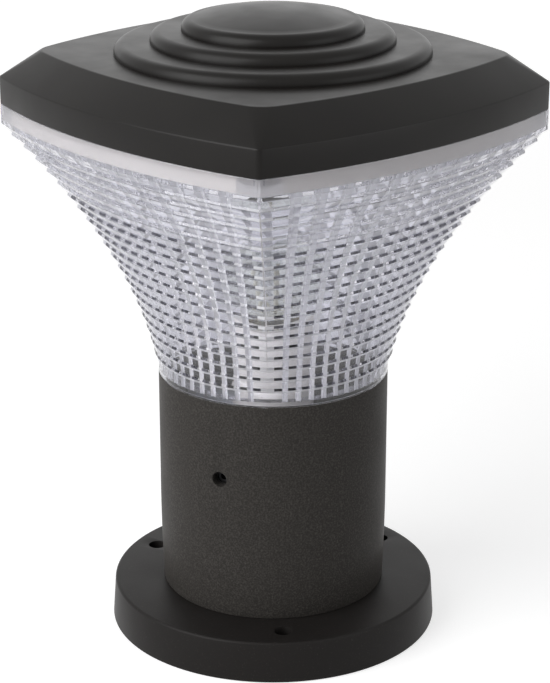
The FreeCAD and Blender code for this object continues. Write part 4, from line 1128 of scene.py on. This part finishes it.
@dataclass(frozen=True)
class Cap:
    """Black moulded cap: skirt, bevel, flat plate, three rounded steps and a shallow dome."""

    foot_z: float = 238.2
    corner_r: float = 117.6
    side_r: float = 95.45
    corner_round: float = 3.4
    skirt: float = 10.9
    bevel_rise: float = 11.9
    plate_corner_r: float = 100.6
    plate_side_r: float = 81.0
    plate_round: float = 12.0
    wall: float = 2.6
    step_radii: tuple[float, ...] = (67.5, 52.2, 38.9)
    step_rise: float = 4.87
    step_round: float = 4.4
    dome_rise: float = 4.4
    edge_round: float = 0.5
    foot_round: float = 0.3
    inner_round: float = 0.6
    lip: float = 0.9
    lip_thick: float = 0.7
    side_count: int = 24
    corner_steps: int = 7
    dome_rings: int = 12
    dome_inset: float = 0.3
    dome_lift: float = 0.02

    def skin(self, wall: float) -> tuple[list[Ring], dict[float, list[int]]]:
        """Outlines of one side of the wall, from the foot to the middle, and which edges to round.

        Args:
            wall: 0 for the outside, or the wall's thickness for the inside.

        Returns:
            The outlines, and the numbers of the ones to round by their rounding.
        """
        knee_z = self.foot_z + self.skirt
        plate_z = knee_z + self.bevel_rise
        slope = self.bevel_rise / (self.side_r - self.plate_side_r)
        drop = wall * math.hypot(1, slope)
        outer = BowedSquare(self.corner_r, self.side_r, self.corner_round)
        plate = BowedSquare(self.plate_corner_r, self.plate_side_r, self.plate_round)
        lip = outer.inset(self.lip_thick) if wall else outer
        if wall:
            outer = outer.inset(wall, self.inner_round)
            plate = plate.inset((drop - wall) / slope, self.plate_round - wall)
        shares = [-1 + 2 * k / self.side_count for k in range(self.side_count + 1)]
        levels = [(lip, self.foot_z - self.lip)]
        if wall:
            levels += [(lip, self.foot_z), (outer, self.foot_z)]
        levels += [(outer, knee_z + wall * slope - drop), (plate, plate_z - wall)]
        rings = [outline.ring(level, shares, self.corner_steps) for outline, level in levels]
        soft: dict[float, list[int]] = {self.edge_round: [len(rings) - 2, len(rings) - 1]}
        if not wall:
            soft[self.foot_round] = [0]
        pattern = rings[-1]
        z = plate_z - wall
        bend = self.step_round - wall
        for radius in self.step_radii:
            rings.append(ring_like(pattern, radius - wall, z))
            z += self.step_rise
            rings.append(ring_like(pattern, radius - wall, z))
            soft.setdefault(bend, []).append(len(rings) - 1)
        dome_r = self.step_radii[-1] - self.step_round
        sphere_r = (dome_r ** 2 + self.dome_rise ** 2) / (2 * self.dome_rise)
        rings.append(ring_like(pattern, dome_r - self.dome_inset, z + self.dome_lift))
        for k in range(1, self.dome_rings):
            r = dome_r * (1 - k / self.dome_rings)
            rise = math.sqrt(sphere_r ** 2 - r ** 2) - (sphere_r - self.dome_rise)
            rings.append(ring_like(pattern, r, z + rise))
        return rings, soft

    def build(self) -> None:
        """Makes the cap."""
        inner, inner_soft = self.skin(self.wall)
        outer, outer_soft = self.skin(0.0)
        shape, edges = Shape.lofted(inner[::-1] + outer, closed=False)
        last = len(inner) - 1
        for radius, numbers in inner_soft.items():
            shape.soften([e for i in numbers for e in edges[last - i]], radius, 4)
        for radius, numbers in outer_soft.items():
            segments = 8 if radius >= self.step_round else 4
            shape.soften([e for i in numbers for e in edges[last + 1 + i]], radius, segments)
        shape.tidy()
        under_z = self.foot_z + self.skirt + self.bevel_rise - 1.5
        corner = Boss(reach=106.5, azimuth=45.0, radius=4.0, bore_r=2.0, low_z=self.foot_z - 1.0,
                      high_z=self.foot_z + 15.2, bore_high_z=self.foot_z + 13.0)
        side = Boss(reach=72.0, azimuth=0.0, radius=3.5, bore_r=1.5, low_z=self.foot_z - 1.2,
                    high_z=under_z, bore_high_z=under_z)
        for k in range(4):
            for boss in (corner, side):
                shape.add(boss.shape(), boss.place(k))
        shape.finish("cap_moulding", CAP_ABS, "head", "cap_plastic", ["cap"], flat_above=35.0)


# ---------------------------------------------------------------- neck and base
@dataclass(frozen=True)
class Neck:
    """Powder-coated tube, drawn in a little at its foot, with three holes to reach the set screws."""

    foot_z: float = 18.4
    top_z: float = 118.7
    radius: float = 51.0
    draft: float = 1.0
    draft_height: float = 41.6
    bore_r: float = 47.5
    draft_power: float = 1.85
    draft_steps: int = 8
    foot_round: float = 0.6
    top_round: float = 0.5
    bore_round: float = 0.3
    hole_r: float = 3.5
    hole_z: float = 83.3
    hole_azimuth: float = 20.5
    hole_round: float = 0.35
    drill_from: float = 30.0
    drill_to: float = 60.0

    def build(self) -> None:
        """Makes the neck tube."""
        corners: list[Corner] = [(self.bore_r, self.foot_z, 0.0),
                                 (self.radius - self.draft, self.foot_z, self.foot_round)]
        for k in range(1, self.draft_steps + 1):
            t = k / self.draft_steps
            drawn = self.draft * (1 - t) ** self.draft_power
            corners.append((self.radius - drawn, self.foot_z + self.draft_height * t, 0.0))
        corners += [(self.radius, self.top_z, self.top_round), (self.bore_r, self.top_z, self.bore_round)]
        shape = Shape.turned(corners, 160, segments=3)
        axes = [around(1, self.hole_azimuth + 120 * k) for k in range(3)]
        middle = Vector((0, 0, self.hole_z))
        shape.cut(*[Shape.rod(self.hole_r, middle + axis * self.drill_from, middle + axis * self.drill_to, 40)
                    for axis in axes])

        def on_rim(p: Vector) -> bool:
            """True on the outer rim of a side hole."""
            return p.xy.length > self.radius - 2 and any(
                axis.dot(p) > 0 and (p - middle - axis * axis.dot(p - middle)).length < self.hole_r + 0.3
                for axis in axes)

        shape.soften(shape.sharp(on_rim), self.hole_round, 3)
        shape.finish("neck_sleeve", NECK_POWDER, "head", "neck_coat", ["neck_tube"], flat_above=40.0)


@dataclass(frozen=True)
class Base:
    """Cast disc with a rounded upper rim, three fixing holes and a ribbed hollow underside."""

    radius: float = 73.8
    top_r: float = 72.45
    thick: float = 18.4
    web: float = 5.0
    rim_wall: float = 7.4
    edge_round: float = 1.2
    foot_round: float = 0.4
    recess_round: float = 2.0
    recess_edge_round: float = 0.5
    hole_r: float = 4.0
    hole_round: float = 0.45
    hole_reach: float = 61.0
    hole_azimuth: float = 51.7
    boss_r: float = 8.0
    hub_r: float = 11.5
    hub_round: float = 0.3
    bore_r: float = 7.5
    bore_round: float = 0.4
    ribs: int = 6
    rib_thick: float = 3.0
    rib_recess: float = 1.5
    hub_bite: float = 1.0
    rim_bite: float = 2.0
    web_bite: float = 0.5

    def build(self) -> None:
        """Makes the base flange: the turned disc, its ribs, hub and bosses, and its holes."""
        web_z = self.thick - self.web
        root_z = web_z + self.web_bite
        recess_r = self.radius - self.rim_wall
        shape = Shape.turned([(self.bore_r, web_z, 0.0), (recess_r, web_z, self.recess_round),
                              (recess_r, 0.0, self.recess_edge_round), (self.radius, 0.0, self.foot_round),
                              (self.top_r, self.thick, self.edge_round),
                              (self.bore_r, self.thick, self.bore_round)], 192, segments=5)
        length = recess_r - self.hub_r + self.hub_bite + self.rim_bite
        size = Vector((length, self.rib_thick, root_z - self.rib_recess))
        middle = Vector((self.hub_r - self.hub_bite + length / 2, 0, (self.rib_recess + root_z) / 2))
        extras = []
        for k in range(self.ribs):
            turn = Matrix.Rotation(math.radians(self.hole_azimuth - 90 + 360 * k / self.ribs), 4, "Z")
            extras.append(Shape.block(size, turn @ Matrix.Translation(middle)))
        extras.append(Shape.turned([(self.bore_r, self.rib_recess, self.hub_round),
                                    (self.hub_r, self.rib_recess, self.hub_round),
                                    (self.hub_r, root_z, 0.0), (self.bore_r, root_z, 0.0)], 48))
        holes = [around(self.hole_reach, self.hole_azimuth + 120 * k) for k in range(3)]
        up = Vector((0, 0, 1))
        extras += [Shape.rod(self.boss_r, hole, hole + up * root_z, 48) for hole in holes]
        shape.join(*extras)
        shape.cut(*[Shape.rod(self.hole_r, hole - up, hole + up * 25, 40) for hole in holes])

        def on_rim(p: Vector) -> bool:
            """True on the upper rim of a fixing hole."""
            return p.z > self.thick - 0.1 and any(
                (p.xy - hole.xy).length < self.hole_r + 0.2 for hole in holes)

        shape.soften(shape.sharp(on_rim), self.hole_round, 3)
        shape.finish("base_casting", BASE_POWDER, "base", "base_coat", ["base_flange"], flat_above=40.0)


# ---------------------------------------------------------------- bulb
@dataclass(frozen=True)
class Bulb:
    """The bulb's screw cap, with a rolled thread that climbs as a helix, and its light-emitting sticks."""

    crest_r: float = 13.1
    thread_depth: float = 0.7
    wall: float = 0.5
    pitch: float = 3.6
    turns: int = 5
    foot_z: float = 124.3
    top_z: float = 145.8
    run_out: float = 0.9
    inner_rise: float = 0.1
    stick_count: int = 4
    stick_r: float = 0.9
    stick_length: float = 26.0
    stick_foot_z: float = 153.3
    stick_reach: float = 3.4
    stick_lean: float = 0.16
    tip_length: float = 1.4

    def screw_cap(self) -> Shape:
        """One pitch of the rolled wave, swept round and up, cut level and given its inner wall."""
        shape = Shape()
        bm = shape.bm
        steps = 72
        waves = 10
        verts = []
        for k in range(waves + 1):
            dip = self.thread_depth * (0.5 + 0.5 * math.cos(2 * math.pi * k / waves))
            verts.append(bm.verts.new((self.crest_r - dip, 0, self.foot_z + self.pitch * (k / waves - 1))))
        for a, b in zip(verts, verts[1:]):
            bm.edges.new((a, b))
        bmesh.ops.spin(bm, geom=bm.verts[:] + bm.edges[:], cent=(0, 0, 0), axis=(0, 0, 1),
                       dvec=(0, 0, self.pitch / steps), angle=2 * math.pi * (self.turns + 1),
                       steps=steps * (self.turns + 1), use_merge=False)
        bmesh.ops.remove_doubles(bm, verts=bm.verts[:], dist=1e-4)
        last_z = self.foot_z + self.pitch * self.turns
        for z, up in ((self.foot_z, -1), (last_z, 1)):
            bmesh.ops.bisect_plane(bm, geom=bm.verts[:] + bm.edges[:] + bm.faces[:], dist=1e-5,
                                   plane_co=(0, 0, z), plane_no=(0, 0, up), clear_outer=True)
        root = self.crest_r - self.thread_depth
        foot = self.rim(bm, self.foot_z)
        edge = self.rim(bm, last_z)
        for radius, z in ((root, last_z + self.run_out), (root, self.top_z), (root - self.wall, self.top_z),
                          (root - self.wall, self.foot_z + self.inner_rise)):
            edge = self.grow(bm, edge, radius, z)
        foot = self.grow(bm, foot, root - self.wall, self.foot_z)
        bmesh.ops.bridge_loops(bm, edges=foot + edge)
        return shape.tidy()

    @staticmethod
    def rim(bm: BMesh, z: float) -> list[BMEdge]:
        """Open edges that lie at a height."""
        return [e for e in bm.edges if e.is_boundary and all(abs(v.co.z - z) < 1e-3 for v in e.verts)]

    @staticmethod
    def grow(bm: BMesh, edges: list[BMEdge], radius: float, z: float) -> list[BMEdge]:
        """Extrudes a loop of edges to a radius and a height.

        Args:
            bm: The mesh that they belong to.
            edges: The loop.
            radius: Its new radius, in mm.
            z: Its new height, in mm.

        Returns:
            The new loop.
        """
        grown = bmesh.ops.extrude_edge_only(bm, edges=edges)["geom"]
        for vert in (g for g in grown if isinstance(g, BMVert)):
            vert.co = Vector((vert.co.x, vert.co.y, 0)).normalized() * radius + Vector((0, 0, z))
        return [g for g in grown if isinstance(g, BMEdge) and all(abs(v.co.z - z) < 1e-3 for v in g.verts)
                and all(abs(v.co.xy.length - radius) < 1e-3 for v in g.verts)]

    def sticks(self) -> Shape:
        """The sticks round the stem, each with a plated tip at both ends."""
        r, length = self.stick_r, self.stick_length
        shape = Shape()
        for k in range(self.stick_count):
            azimuth = 45 + 360 * k / self.stick_count
            stick = Shape.turned([(0, 0, 0.0), (r, 0, 0.3), (r, self.tip_length, 0.0),
                                  (r, length - self.tip_length, 0.0), (r, length, 0.3), (0, length, 0.0)],
                                 24, solid=True, segments=3)
            for face in stick.bm.faces:
                if abs(face.calc_center_median().z - length / 2) > length / 2 - self.tip_length:
                    face.material_index = 1
            lean = around(self.stick_lean, azimuth) + Vector((0, 0, 1))
            turn = Vector((0, 0, 1)).rotation_difference(lean).to_matrix().to_4x4()
            shape.add(stick, Matrix.Translation(around(self.stick_reach, azimuth, self.stick_foot_z)) @ turn)
        return shape

    def build(self) -> None:
        """Makes the screw cap and the sticks."""
        self.screw_cap().finish("bulb_screw_cap", NICKEL, "bulb", "nickel", ["bulb_cap"], flat_above=50.0)
        self.sticks().finish("light_sticks", [PHOSPHOR, NICKEL], "bulb", "filament_coat", ["bulb_filaments"])


# ---------------------------------------------------------------- everything
def dress_nodes() -> None:
    """Gives every CAD node that still shows its finish."""
    slots = {s["node"]: s["material_slot"] for s in frame["record"]["subparts"]}
    for name, node in frame["nodes"].items():
        if node.hide_render:
            continue
        finish = CAD_FINISHES[slots[name]].material()
        if node.material_slots:
            for holder in node.material_slots:
                holder.material = finish
        else:
            node.data.materials.append(finish)
        LOG.info("%s keeps its shape and is %s", name, finish.name)


def main() -> None:
    """Builds the light, its studio and the view of it."""
    logging.basicConfig(level=logging.INFO, format="%(name)s: %(message)s")
    Camera().place()
    Studio().place()
    for part in (Lens(), Cap(), Neck(), Base(), Bulb()):
        part.build()
    dress_nodes()


if __name__ == "__main__":
    main()
